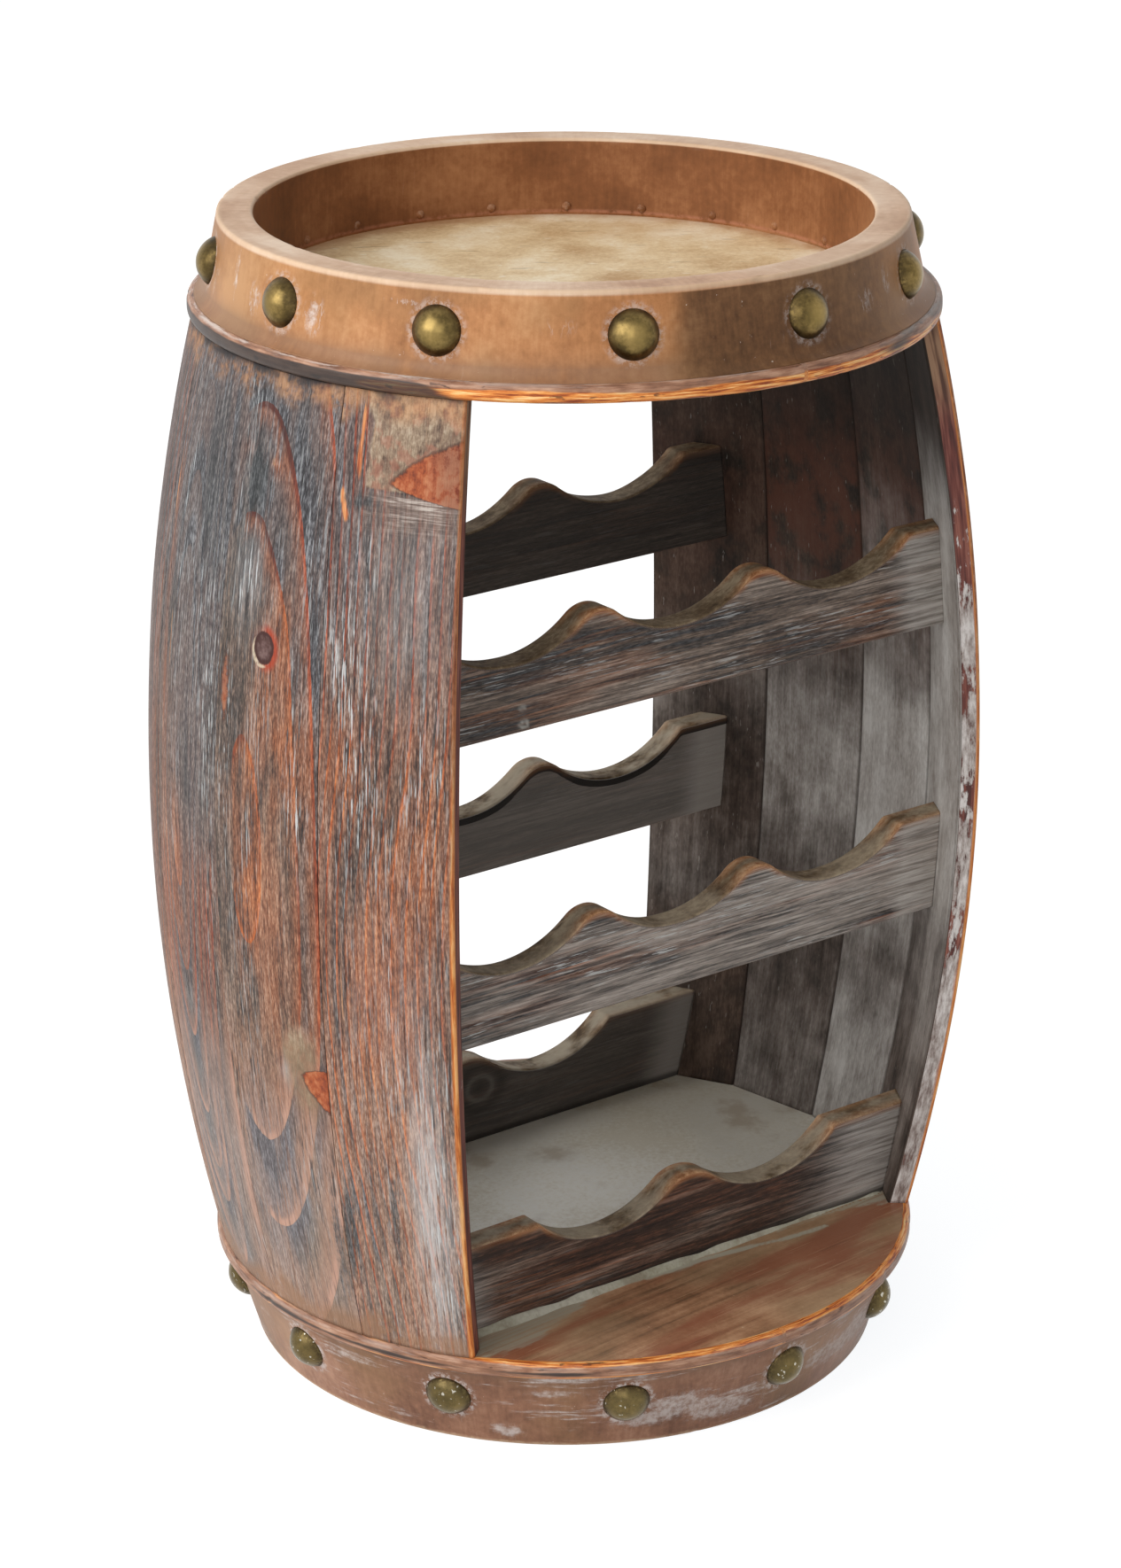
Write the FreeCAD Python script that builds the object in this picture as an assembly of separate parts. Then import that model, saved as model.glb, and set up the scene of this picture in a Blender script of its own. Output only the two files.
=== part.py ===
import FreeCAD, Part
import math
import os

# Barrel-shaped rack for lying bottles: two side panels of bulged staves between two round boards,
# three tiers of scalloped rails, a tray on top and a studded hoop at each end.
# Millimetres. +Z is up, the front opening faces -Y, the origin is on the floor under the middle.

V = FreeCAD.Vector
UP = V(0, 0, 1)
ORIGIN = V(0, 0, 0)
TO_FRONT = -90.0  # turn from +X to the front

# Side panels
panel_height = 462.0
belly_radius = 200.0
stave_end_radius = 172.5
stave_thickness = 12.5
staves_per_side = 4
opening_angle = 102.5

# Round boards at the staves' two ends, standing out a little beyond them
top_board_overhang = 2.7
top_board_thickness = 8.5
base_board_overhang = 1.5
base_board_thickness = 8.5
board_edge_round = 3.6

# Tray ring on the top board
tray_ring_height = 38.0
tray_flare = 11.6
tray_rim_width = 17.0
tray_cove_radius = 5.0
rim_round = 1.8

# Base ring under the base board
base_ring_height = 44.5
base_flare = 14.9
base_foot_width = 17.5
base_cove_radius = 3.0
foot_round = 1.5

# Scalloped rails
rail_thickness = 14.0
rail_height = 50.0
bottom_rail_height = 47.0
tier_pitch = 148.2
front_rail_reach = 83.0
back_rail_reach = 88.5
bottle_pitch = 96.0
bottom_bottle_pitch = 100.0
bottom_front_shift = 9.0
scallop_depth = 17.0
peak_radius = 16.0
bottom_peak_radius = 23.0

# Brass studs
stud_count = 12
stud_first_angle = 3.2
stud_diameter = 22.5
stud_dome = 7.0
stud_shank_width = 2.6
stud_shank_length = 11.0
tray_stud_height = 19.0
base_stud_height = 26.0

# Square brads: through the boards into the staves, through the staves into the rails, and aslant
# through the foot of each hoop into its board
nail_punch = 0.8
stave_nail_width = 2.2
stave_nail_length = 28.0
stave_nails_per_end = 2
rail_nail_width = 2.0
rail_nail_length = 42.0
rail_nail_margin = 13.0
pin_count = 24
pin_width = 1.8
pin_length = 13.0
pin_proud = 1.0
pin_height = 3.6
pin_tilt = 45.0

# Levels that follow from the sizes above
base_board_low = base_ring_height
panel_low = base_board_low + base_board_thickness
panel_high = panel_low + panel_height
tray_floor = panel_high + top_board_thickness
panel_middle = (panel_low + panel_high) / 2

# The staves' bulge is one arc through the belly and both ends
bulge = belly_radius - stave_end_radius
half_height = panel_height / 2
bulge_arc_radius = (half_height ** 2 + bulge ** 2) / (2 * bulge)
end_lean = math.degrees(math.asin(half_height / bulge_arc_radius))
stave_angle = (180.0 - opening_angle) / staves_per_side

# The boards follow the staves' ends, and the hoops follow the flat of the boards
top_board_radius = stave_end_radius + top_board_overhang
tray_foot_radius = top_board_radius - board_edge_round
tray_rim_radius = tray_foot_radius - tray_flare
tray_bore_radius = tray_rim_radius - tray_rim_width
base_board_radius = stave_end_radius + base_board_overhang
base_hoop_foot_radius = base_board_radius - board_edge_round
base_foot_radius = base_hoop_foot_radius - base_flare
base_bore_radius = base_foot_radius - base_foot_width


def face_of(edges):
    return Part.Face(Part.Wire(edges))


def line(start, end):
    return Part.makeLine(start, end)


def arc(start, middle, end):
    return Part.Arc(start, middle, end).toShape()


def turned(edges, angle=360.0):
    return face_of(edges).revolve(ORIGIN, UP, angle)


def spun(shape, angle):
    """A copy of the shape turned about the barrel's axis."""
    copy = shape.copy()
    copy.rotate(ORIGIN, UP, angle)
    return copy


def outward(angle_from_front):
    """Unit vector away from the axis, at an angle from the front towards +X."""
    turn = math.radians(angle_from_front)
    return V(math.sin(turn), -math.cos(turn), 0)


def bulge_radius(level):
    """Radius of the staves' outer face at a level."""
    rise = level - panel_middle
    return belly_radius - bulge_arc_radius + math.sqrt(bulge_arc_radius ** 2 - rise ** 2)


def bulge_arc(side, inset):
    """Arc inset inside the staves' outer face, from the low end up; side is 1 for +X and -1 for -X."""
    end = side * (stave_end_radius - inset)
    belly = side * (belly_radius - inset)
    return arc(V(end, 0, panel_low), V(belly, 0, panel_middle), V(end, 0, panel_high))


def joined(*arcs):
    """Face bounded by upright arcs or lines and the level lines between their ends."""
    first, last = arcs
    lows = [edge.Vertexes[0].Point for edge in arcs]
    highs = [edge.Vertexes[-1].Point for edge in arcs]
    return face_of([first, line(highs[0], highs[1]), last, line(lows[1], lows[0])])


def stave_hollow():
    """The room between two opposite staves: flat across their width, bent along their length."""
    section = joined(bulge_arc(1, stave_thickness), bulge_arc(-1, stave_thickness))
    room = section.extrude(V(0, 2 * belly_radius, 0))
    room.translate(V(0, -belly_radius, 0))
    return room


def make_stave(angle_from_front):
    axis = line(V(0, 0, panel_low), V(0, 0, panel_high))
    wedge = joined(bulge_arc(1, 0), axis).revolve(ORIGIN, UP, stave_angle)
    wedge.rotate(ORIGIN, UP, -stave_angle / 2)
    stave = wedge.cut(stave_hollow())
    return spun(stave, angle_from_front + TO_FRONT)


def stave_angles(side):
    """Middle angles of one side's staves, front to back; side is 1 for right and -1 for left."""
    first = opening_angle / 2 + stave_angle / 2
    return [side * (first + place * stave_angle) for place in range(staves_per_side)]


def barrel_inside():
    """The room inside all the staves. Opposite staves share one hollow."""
    rooms = [spun(stave_hollow(), angle + TO_FRONT) for angle in stave_angles(1)]
    inside = rooms[0]
    for room in rooms[1:]:
        inside = inside.common(room)
    return inside


def make_board(radius, low, thickness):
    """Round board whose edge is rounded above and below."""
    high = low + thickness
    soft = min(board_edge_round, 0.45 * thickness)
    bend = soft * (1 - math.sqrt(0.5))
    return turned([
        line(V(0, 0, low), V(radius - soft, 0, low)),
        arc(V(radius - soft, 0, low), V(radius - bend, 0, low + bend), V(radius, 0, low + soft)),
        line(V(radius, 0, low + soft), V(radius, 0, high - soft)),
        arc(V(radius, 0, high - soft), V(radius - bend, 0, high - bend), V(radius - soft, 0, high)),
        line(V(radius - soft, 0, high), V(0, 0, high)),
        line(V(0, 0, high), V(0, 0, low)),
    ])


def make_hoop(board_face, height, narrow, foot, cove, soft, bore):
    """Turned hoop on a board: wide and coved at the board, narrow at its free edge.

    A negative height hangs the hoop below the board.
    """
    way = math.copysign(1.0, height)
    free = board_face + height
    wide = foot - cove
    cove_top = board_face + way * cove
    cove_bend = cove * (1 - math.sqrt(0.5))
    bend = soft * (1 - math.sqrt(0.5))
    edge = free - way * soft
    return turned([
        line(V(bore, 0, board_face), V(foot, 0, board_face)),
        arc(
            V(foot, 0, board_face),
            V(wide + cove_bend, 0, board_face + way * cove_bend),
            V(wide, 0, cove_top),
        ),
        line(V(wide, 0, cove_top), V(narrow, 0, edge)),
        arc(V(narrow, 0, edge), V(narrow - bend, 0, free - way * bend), V(narrow - soft, 0, free)),
        line(V(narrow - soft, 0, free), V(bore + soft, 0, free)),
        arc(V(bore + soft, 0, free), V(bore + bend, 0, free - way * bend), V(bore, 0, edge)),
        line(V(bore, 0, edge), V(bore, 0, board_face)),
    ])


def scallop_edge(count, pitch, shift, peak_round, top, reach, depth_axis):
    """Top edge of a rail, left to right: flat ends, round hollows and rounded peaks between them."""
    low = top - scallop_depth
    half_pitch = pitch / 2
    both_radii = (half_pitch ** 2 + scallop_depth ** 2) / (2 * scallop_depth)
    scallop_radius = both_radii - peak_round
    lean = math.asin(half_pitch / both_radii)
    side_run = scallop_radius * math.sin(lean)
    side_level = low + scallop_radius * (1 - math.cos(lean))
    mouth = math.sqrt(scallop_radius ** 2 - (scallop_radius - scallop_depth) ** 2)
    middles = [shift + (place - (count - 1) / 2) * pitch for place in range(count)]

    def at(along, level):
        return V(along, depth_axis, level)

    edges = [line(at(-reach, top), at(middles[0] - mouth, top))]
    for place, middle in enumerate(middles):
        start = at(middle - side_run, side_level)
        end = at(middle + side_run, side_level)
        if place == 0:
            start = at(middle - mouth, top)
        if place == count - 1:
            end = at(middle + mouth, top)
        edges.append(arc(start, at(middle, low), end))
        if place < count - 1:
            peak = middle + half_pitch
            peak_end = at(peak + half_pitch - side_run, side_level)
            edges.append(arc(end, at(peak, low + scallop_depth), peak_end))
    edges.append(line(at(middles[-1] + mouth, top), at(reach, top)))
    return edges


def make_rail(inside, count, pitch, shift, peak_round, low, height, depth_middle):
    """Rail between the side panels, its ends cut to the flat insides of the staves."""
    reach = belly_radius
    near = depth_middle - rail_thickness / 2
    top = low + height
    left_top = V(-reach, near, top)
    right_top = V(reach, near, top)
    left_low = V(-reach, near, low)
    right_low = V(reach, near, low)
    edges = scallop_edge(count, pitch, shift, peak_round, top, reach, near)
    edges += [line(right_top, right_low), line(right_low, left_low), line(left_low, left_top)]
    return face_of(edges).extrude(V(0, rail_thickness, 0)).common(inside)


def brad(start, direction, width, length):
    """Square nail from its head end along a direction."""
    shank = Part.makeBox(width, width, length, V(-width / 2, -width / 2, 0))
    shank.Placement = FreeCAD.Placement(start, FreeCAD.Rotation(UP, direction))
    return shank


def stave_nails(board_face, way):
    """Nails from a board's outer face into the stave ends; way is -1 down and 1 up."""
    lean = math.radians(end_lean)
    board = top_board_thickness if way < 0 else base_board_thickness
    run_in = board - nail_punch
    middle_radius = stave_end_radius - stave_thickness / 2 - run_in * math.tan(lean)
    spread = stave_angle / stave_nails_per_end
    nails = []
    for side in (1, -1):
        for stave in stave_angles(side):
            for place in range(stave_nails_per_end):
                angle = stave + (place - (stave_nails_per_end - 1) / 2) * spread
                out = outward(angle)
                start = out * middle_radius + UP * (board_face + way * nail_punch)
                direction = out * math.sin(lean) + UP * (way * math.cos(lean))
                nails.append(brad(start, direction, stave_nail_width, stave_nail_length))
    return nails


def rail_nails(low, height, depth_middle):
    """Nails through the outer staves into both ends of a rail, all their corners under the skin."""
    half = rail_nail_width / 2
    corner_depth = abs(depth_middle) + half
    nails = []
    for side in (1, -1):
        for level in (low + rail_nail_margin, low + height - rail_nail_margin):
            corner_radius = min(bulge_radius(level - half), bulge_radius(level + half))
            skin = math.sqrt(corner_radius ** 2 - corner_depth ** 2)
            start = V(side * (skin - nail_punch), depth_middle, level)
            nails.append(brad(start, V(-side, 0, 0), rail_nail_width, rail_nail_length))
    return nails


def ring_pins(bore, board_face, way):
    """Pins driven aslant through a hoop's foot into its board; way is -1 down and 1 up."""
    tilt = math.radians(pin_tilt)
    pins = []
    for place in range(pin_count):
        out = outward(360.0 * (place + 0.5) / pin_count)
        start = out * bore + UP * (board_face - way * pin_height)
        direction = out * math.cos(tilt) + UP * (way * math.sin(tilt))
        pins.append(brad(start - direction * pin_proud, direction, pin_width, pin_length))
    return pins


def make_stud():
    """Dome with a square shank, pointing along +X with the dome's rim at the origin."""
    rim = stud_diameter / 2
    ball = (rim ** 2 + stud_dome ** 2) / (2 * stud_dome)
    half_turn = math.asin(rim / ball) / 2
    shoulder = V(ball * math.sin(half_turn), 0, stud_dome - ball * (1 - math.cos(half_turn)))
    dome = turned([
        arc(V(0, 0, stud_dome), shoulder, V(rim, 0, 0)),
        line(V(rim, 0, 0), ORIGIN),
        line(ORIGIN, V(0, 0, stud_dome)),
    ])
    stud = dome.fuse(brad(ORIGIN, -UP, stud_shank_width, stud_shank_length))
    stud.rotate(ORIGIN, V(0, 1, 0), 90.0)
    return stud


def make_studs(board_face, height, narrow, foot, cove, soft, stud_level):
    """Studs round a hoop, square to its cone."""
    way = math.copysign(1.0, height)
    flare = foot - cove - narrow
    cone_run = abs(height) - cove - soft
    cone_tilt = math.degrees(math.atan(flare / cone_run))
    above_cove = abs(stud_level - board_face) - cove
    radius = narrow + flare * (1 - above_cove / cone_run)
    stud = make_stud()
    stud.rotate(ORIGIN, V(0, 1, 0), -way * cone_tilt)
    stud.translate(V(radius, 0, stud_level))
    step = 360.0 / stud_count
    return [spun(stud, stud_first_angle + place * step + TO_FRONT) for place in range(stud_count)]


def drilled(shape, fasteners):
    """The shape with a hole for every fastener that reaches into it."""
    box = shape.BoundBox
    near = [fastener for fastener in fasteners if box.intersect(fastener.BoundBox)]
    return shape.cut(near) if near else shape


def rails():
    """Name of every rail, with its row of hollows and its place (underside, height, middle plane)."""
    middle_low = panel_low + tier_pitch
    top_low = middle_low + tier_pitch
    wide_row = (3, bottle_pitch, 0.0, peak_radius)
    planes = (("front", -front_rail_reach, bottom_front_shift), ("back", back_rail_reach, 0.0))
    for end, plane, shift in planes:
        narrow_row = (2, bottom_bottle_pitch, shift, bottom_peak_radius)
        yield "top_rail_" + end, wide_row, (top_low, rail_height, plane)
        yield "middle_rail_" + end, wide_row, (middle_low, rail_height, plane)
        yield "bottom_rail_" + end, narrow_row, (panel_low, bottom_rail_height, plane)


# A hoop: the board's face it stands on, its height, narrow end, foot on the board's flat, cove and rounding
tray_hoop = (tray_floor, tray_ring_height, tray_rim_radius, tray_foot_radius, tray_cove_radius, rim_round)
base_hoop = (
    base_board_low,
    -base_ring_height,
    base_foot_radius,
    base_hoop_foot_radius,
    base_cove_radius,
    foot_round,
)

groups = {
    "top_stave_nails": stave_nails(tray_floor, -1),
    "base_stave_nails": stave_nails(base_board_low, 1),
    "rail_nails": [nail for name, row, seat in rails() for nail in rail_nails(*seat)],
    "tray_ring_pins": ring_pins(tray_bore_radius, tray_floor, -1),
    "base_ring_pins": ring_pins(base_bore_radius, base_board_low, 1),
    "tray_studs": make_studs(*tray_hoop, tray_floor + tray_stud_height),
    "base_studs": make_studs(*base_hoop, base_stud_height),
}
fasteners = [solid for group in groups.values() for solid in group]

wood = {
    "top_board": make_board(top_board_radius, panel_high, top_board_thickness),
    "base_board": make_board(base_board_radius, base_board_low, base_board_thickness),
    "tray_ring": make_hoop(*tray_hoop, tray_bore_radius),
    "base_ring": make_hoop(*base_hoop, base_bore_radius),
}
for side_name, side in (("left", -1), ("right", 1)):
    for place, angle in enumerate(stave_angles(side), start=1):
        wood["stave_%s_%d" % (side_name, place)] = make_stave(angle)
inside = barrel_inside()
for name, row, seat in rails():
    wood[name] = make_rail(inside, *row, *seat)

os.makedirs("parts", exist_ok=True)
for name, shape in wood.items():
    drilled(shape, fasteners).exportStep("parts/%s.step" % name)
for name, solids in groups.items():
    Part.makeCompound(solids).exportStep("parts/%s.step" % name)
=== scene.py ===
import math
from dataclasses import dataclass

import bpy
import numpy as np
from mathutils import Euler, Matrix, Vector


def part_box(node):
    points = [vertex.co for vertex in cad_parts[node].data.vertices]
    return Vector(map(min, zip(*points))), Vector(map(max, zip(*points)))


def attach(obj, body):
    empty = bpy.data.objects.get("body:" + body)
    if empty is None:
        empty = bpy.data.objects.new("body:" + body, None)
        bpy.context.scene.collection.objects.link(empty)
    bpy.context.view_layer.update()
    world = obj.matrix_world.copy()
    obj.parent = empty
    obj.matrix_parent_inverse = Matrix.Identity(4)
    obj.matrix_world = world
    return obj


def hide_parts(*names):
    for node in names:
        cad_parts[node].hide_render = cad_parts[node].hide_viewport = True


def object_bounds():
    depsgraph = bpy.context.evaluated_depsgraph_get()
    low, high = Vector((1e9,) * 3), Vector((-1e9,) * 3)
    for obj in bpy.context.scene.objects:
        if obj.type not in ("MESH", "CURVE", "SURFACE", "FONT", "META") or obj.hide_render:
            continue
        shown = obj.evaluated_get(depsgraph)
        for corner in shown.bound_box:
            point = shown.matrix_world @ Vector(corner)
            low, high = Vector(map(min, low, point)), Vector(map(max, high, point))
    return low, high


# Dresses the barrel rack: weathered staves and rails, copper-painted hoops, brass studs.
# Metres, in the frame of the solids: +Z up, the front opening faces -Y.

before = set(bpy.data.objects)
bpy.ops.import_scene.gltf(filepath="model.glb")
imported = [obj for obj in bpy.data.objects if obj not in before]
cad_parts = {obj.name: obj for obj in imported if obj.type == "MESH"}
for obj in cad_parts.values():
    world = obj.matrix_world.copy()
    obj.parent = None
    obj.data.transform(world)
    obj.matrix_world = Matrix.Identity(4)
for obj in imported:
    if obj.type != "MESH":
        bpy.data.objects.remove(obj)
cad_low, cad_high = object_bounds()
MM = 0.001

# Levels and radii read from the solids
panel_low, panel_high = (corner.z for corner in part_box("stave_left_1"))
base_low, base_high = (corner.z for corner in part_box("base_board"))
top_low, tray_floor = (corner.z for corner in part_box("top_board"))
rim_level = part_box("tray_ring")[1].z
belly_radius = cad_high.x
top_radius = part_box("top_board")[1].x
base_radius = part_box("base_board")[1].x
tray_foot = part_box("tray_ring")[1].x
base_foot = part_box("base_ring")[1].x

# Sizes that a box doesn't give
STAVE_END_RADIUS = 172.5 * MM
STAVE_THICKNESS = 12.5 * MM
OPENING_ANGLE = 102.5
STAVES_PER_SIDE = 4
STAVE_ANGLE = (180.0 - OPENING_ANGLE) / STAVES_PER_SIDE
STAVE_SEAM = 0.05 * MM
FREE_CORNER_WEAR = 1.9 * MM
SEAM_CORNER_WEAR = 0.6 * MM
INNER_CORNER_ROUND = 1.2 * MM
RAIL_TOP_ROUND = 1.5 * MM
RAIL_FOOT_ROUND = 0.9 * MM
BOARD_EDGE_ROUND = 3.6 * MM
BOARD_MIDDLE = 1.0 * MM
TRAY_RIM_RADIUS = 160.0 * MM
TRAY_BORE_RADIUS = 143.0 * MM
TRAY_COVE = 5.0 * MM
RIM_ROUND = 1.8 * MM
BASE_FOOT_RADIUS = 155.5 * MM
BASE_BORE_RADIUS = 138.0 * MM
BASE_COVE = 3.0 * MM
FOOT_ROUND = 1.5 * MM
RAIL_RING_PITCH = 4.2 * MM
LEAST_RING_SLOPE = 8.0
STUD_COUNT = 12
STUD_FIRST_ANGLE = 3.2
STUD_RADIUS = 11.25 * MM
STUD_DOME = 7.0 * MM
TRAY_STUD_LEVEL = tray_floor + 19.0 * MM
BASE_STUD_LEVEL = 26.0 * MM
PIN_COUNT = 24
PIN_RADIUS = 2.3 * MM
PIN_DOME = 1.3 * MM
PIN_LEVEL = tray_floor + 4.0 * MM
DOME_SUNK = 0.8 * MM
DOME_TOP_SHARE = 0.97
FILLER_OVERLAP = 0.2 * MM

# Rows of hollows in the rails: count, pitch, shift, rounding of the peaks
SCALLOP_DEPTH = 17.0 * MM
WIDE_ROW = (3, 96.0 * MM, 0.0, 16.0 * MM)
BOTTOM_FRONT_ROW = (2, 100.0 * MM, 9.0 * MM, 23.0 * MM)
BOTTOM_BACK_ROW = (2, 100.0 * MM, 0.0, 23.0 * MM)

# How many points the meshes have
STAVE_LEVELS = 233
STAVE_COLUMNS = 57
RAIL_STATIONS = 191
RAIL_END_STATIONS = 24
HOOP_STATIONS = 600
BOARD_STATIONS = 480
FILLER_STATIONS = 150
FILLER_SPACES = 8

# Kinds of faces round a stave, a rail, a hoop and a board
OUTSIDE, FRONT_EDGE, INSIDE, BACK_EDGE = range(4)
RAIL_FRONT, RAIL_CUT, RAIL_BACK, RAIL_UNDER = range(4)
CONE, COVE, CORNER, RIM, BORE, SEAT = range(6)
BOARD_TOP, BOARD_LIP, BOARD_UNDER = range(3)

panel_middle = (panel_low + panel_high) / 2
half_height = (panel_high - panel_low) / 2
bulge = belly_radius - STAVE_END_RADIUS
bulge_arc_radius = (half_height ** 2 + bulge ** 2) / (2 * bulge)


# Smooth noise and small shapes

SEED_FACTOR = 2654435761
CELL_FACTORS = (73856093, 19349663)
MIX_FACTORS = (np.uint64(0x2C1B3C6D), np.uint64(0x297A2D39))
LARGEST_HASH = np.uint64(0xFFFFFFFF)


def hashed(seed, *cells):
    """Fixed values from 0 to 1, one for each whole-numbered cell."""
    mixed = np.full(np.shape(cells[0]), (seed * SEED_FACTOR) % 2 ** 32, dtype=np.uint64)
    for factor, cell in zip(CELL_FACTORS, cells):
        mixed ^= (np.asarray(cell).astype(np.int64) * factor).astype(np.uint64) & LARGEST_HASH
        mixed = (mixed ^ (mixed >> np.uint64(15))) * MIX_FACTORS[0] & LARGEST_HASH
    mixed = (mixed ^ (mixed >> np.uint64(12))) * MIX_FACTORS[1] & LARGEST_HASH
    return (mixed ^ (mixed >> np.uint64(15))).astype(float) / float(LARGEST_HASH)


def eased(share):
    """Smooth step: 0 up to 0, 1 from 1 on."""
    share = np.clip(share, 0.0, 1.0)
    return share * share * (3 - 2 * share)


def bell(value, middle, width):
    """1 at the middle, falling off to both sides."""
    return np.exp(-((value - middle) / width) ** 2)


def window(value, start, end, rise, fall):
    """1 between two values, eased in from the first and out towards the second."""
    return eased((value - start) / rise) * eased((end - value) / fall)


def noise(x, y=0.0, seed=0):
    """Smooth noise from -1 to 1 with cells one unit wide."""
    x, y = np.broadcast_arrays(np.asarray(x, float), np.asarray(y, float))
    column, row = np.floor(x), np.floor(y)
    across, up = eased(x - column), eased(y - row)
    low = hashed(seed, column, row) * (1 - across) + hashed(seed, column + 1, row) * across
    high = hashed(seed, column, row + 1) * (1 - across) + hashed(seed, column + 1, row + 1) * across
    return 2 * (low * (1 - up) + high * up) - 1


def ring_noise(angle, fineness, seed):
    """Smooth noise round a circle."""
    return noise(fineness * np.cos(angle) + 50, fineness * np.sin(angle) + 50, seed)


def bulge_radius(level):
    """Radius of the staves' outer face at a level."""
    return belly_radius - bulge_arc_radius + np.sqrt(bulge_arc_radius ** 2 - (level - panel_middle) ** 2)


def outward(angle_from_front):
    """Unit vector away from the axis, at an angle in degrees from the front towards +X."""
    turn = math.radians(angle_from_front)
    return np.array([math.sin(turn), -math.cos(turn), 0.0])


def circle(count):
    """Angles round the axis, from the front."""
    return np.linspace(0.0, 2 * math.pi, count, endpoint=False)


def turned_to(angle):
    """The same angle between half a turn to either side."""
    return (angle + math.pi) % (2 * math.pi) - math.pi


class Outline:
    """Points of a closed section and the kind of face at each.

    In a joined outline every stretch begins with its first point and leaves its last one to the next. In
    others a run holds both its ends and a bend neither.
    """

    def __init__(self, joined=False):
        self.joined, self.points, self.kinds = joined, [], []

    def add(self, points, kind):
        self.points += points
        self.kinds += [kind] * len(points)

    def run(self, start, end, count, kind):
        start, end = np.asarray(start), np.asarray(end)
        spaces = count if self.joined else count - 1
        self.add([start + (end - start) * (place / spaces) for place in range(count)], kind)

    def bend(self, before, corner, after, kind, count=3):
        """A rounded corner between two points beside it."""
        before, corner, after = (np.asarray(point) for point in (before, corner, after))
        shares = [place / (count + 1) for place in range(0 if self.joined else 1, count + 1)]
        self.add([before * (1 - s) ** 2 + corner * (2 * s * (1 - s)) + after * s ** 2 for s in shares], kind)


# Pieces


def swept(loops, closed=False):
    """Faces of a surface through equal closed loops, shape (stations, points, 3).

    An open sweep gets a flat cap at each end, listed last.
    """
    stations, count = loops.shape[:2]
    index = np.arange(stations * count).reshape(stations, count)
    here = index if closed else index[:-1]
    ahead = np.roll(index, -1, axis=0) if closed else index[1:]
    quads = np.stack([here, np.roll(here, -1, axis=1), np.roll(ahead, -1, axis=1), ahead], axis=-1)
    faces = quads.reshape(-1, 4).tolist()
    if not closed:
        faces.append(index[0][::-1].tolist())
        faces.append(index[-1].tolist())
    return faces


def facing_out(points, faces):
    """The faces, turned over if they enclose a negative volume."""
    corners = np.array([face[:3] for face in faces] + [[f[0], f[2], f[3]] for f in faces if len(f) == 4])
    a, b, c = (points[corners[:, side]] for side in range(3))
    volume = np.einsum("ij,ij->i", a, np.cross(b, c)).sum()
    return faces if volume > 0 else [face[::-1] for face in faces]


def make_piece(name, nodes, points, faces, materials, patches=None, fields=None):
    """A mesh piece that rides on the rack.

    Fields are named values at its points for its materials; three of them in a tuple are coordinates.
    """
    shape = points.shape[:-1]
    points = points.reshape(-1, 3)
    mesh = bpy.data.meshes.new(name)
    mesh.from_pydata(points.tolist(), [], facing_out(points, faces))
    mesh.shade_smooth()
    for polygon in mesh.polygons:
        if len(polygon.vertices) > 4:
            polygon.use_smooth = False
    for material in materials:
        mesh.materials.append(material)
    if patches is not None:
        mesh.polygons.foreach_set("material_index", np.asarray(patches, np.int32))
    for field, values in (fields or {}).items():
        kind, key = ("FLOAT_VECTOR", "vector") if isinstance(values, tuple) else ("FLOAT", "value")
        parts = values if isinstance(values, tuple) else (values,)
        flat = np.stack([np.broadcast_to(part, shape) for part in parts], axis=-1)
        mesh.attributes.new(field, kind, "POINT").data.foreach_set(key, flat.astype(np.float32).ravel())
    mesh.update()
    piece = bpy.data.objects.new(name, mesh)
    bpy.context.scene.collection.objects.link(piece)
    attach(piece, "root")
    if nodes:
        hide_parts(*nodes)


# Materials


def srgb(red, green, blue):
    """A colour as it shows, from 0 to 255, as the light share that a shader takes."""
    shares = (value / 255 for value in (red, green, blue))
    linear = [s / 12.92 if s <= 0.04045 else ((s + 0.055) / 1.055) ** 2.4 for s in shares]
    return (*linear, 1.0)


def put(tree, socket, value):
    """Links an amount or a node's output to a socket, or sets the socket to a number, vector or colour."""
    value = value.socket if isinstance(value, Amount) else value
    if isinstance(value, bpy.types.NodeSocket):
        tree.links.new(value, socket)
    else:
        socket.default_value = value


def add_node(tree, kind, *values, **settings):
    """A shader node with these settings and these first inputs; None leaves an input as it is."""
    node = tree.nodes.new("ShaderNode" + kind)
    for setting, value in settings.items():
        setattr(node, setting, value)
    for socket, value in zip(node.inputs, values):
        if value is not None:
            put(tree, socket, value)
    return node


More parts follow.
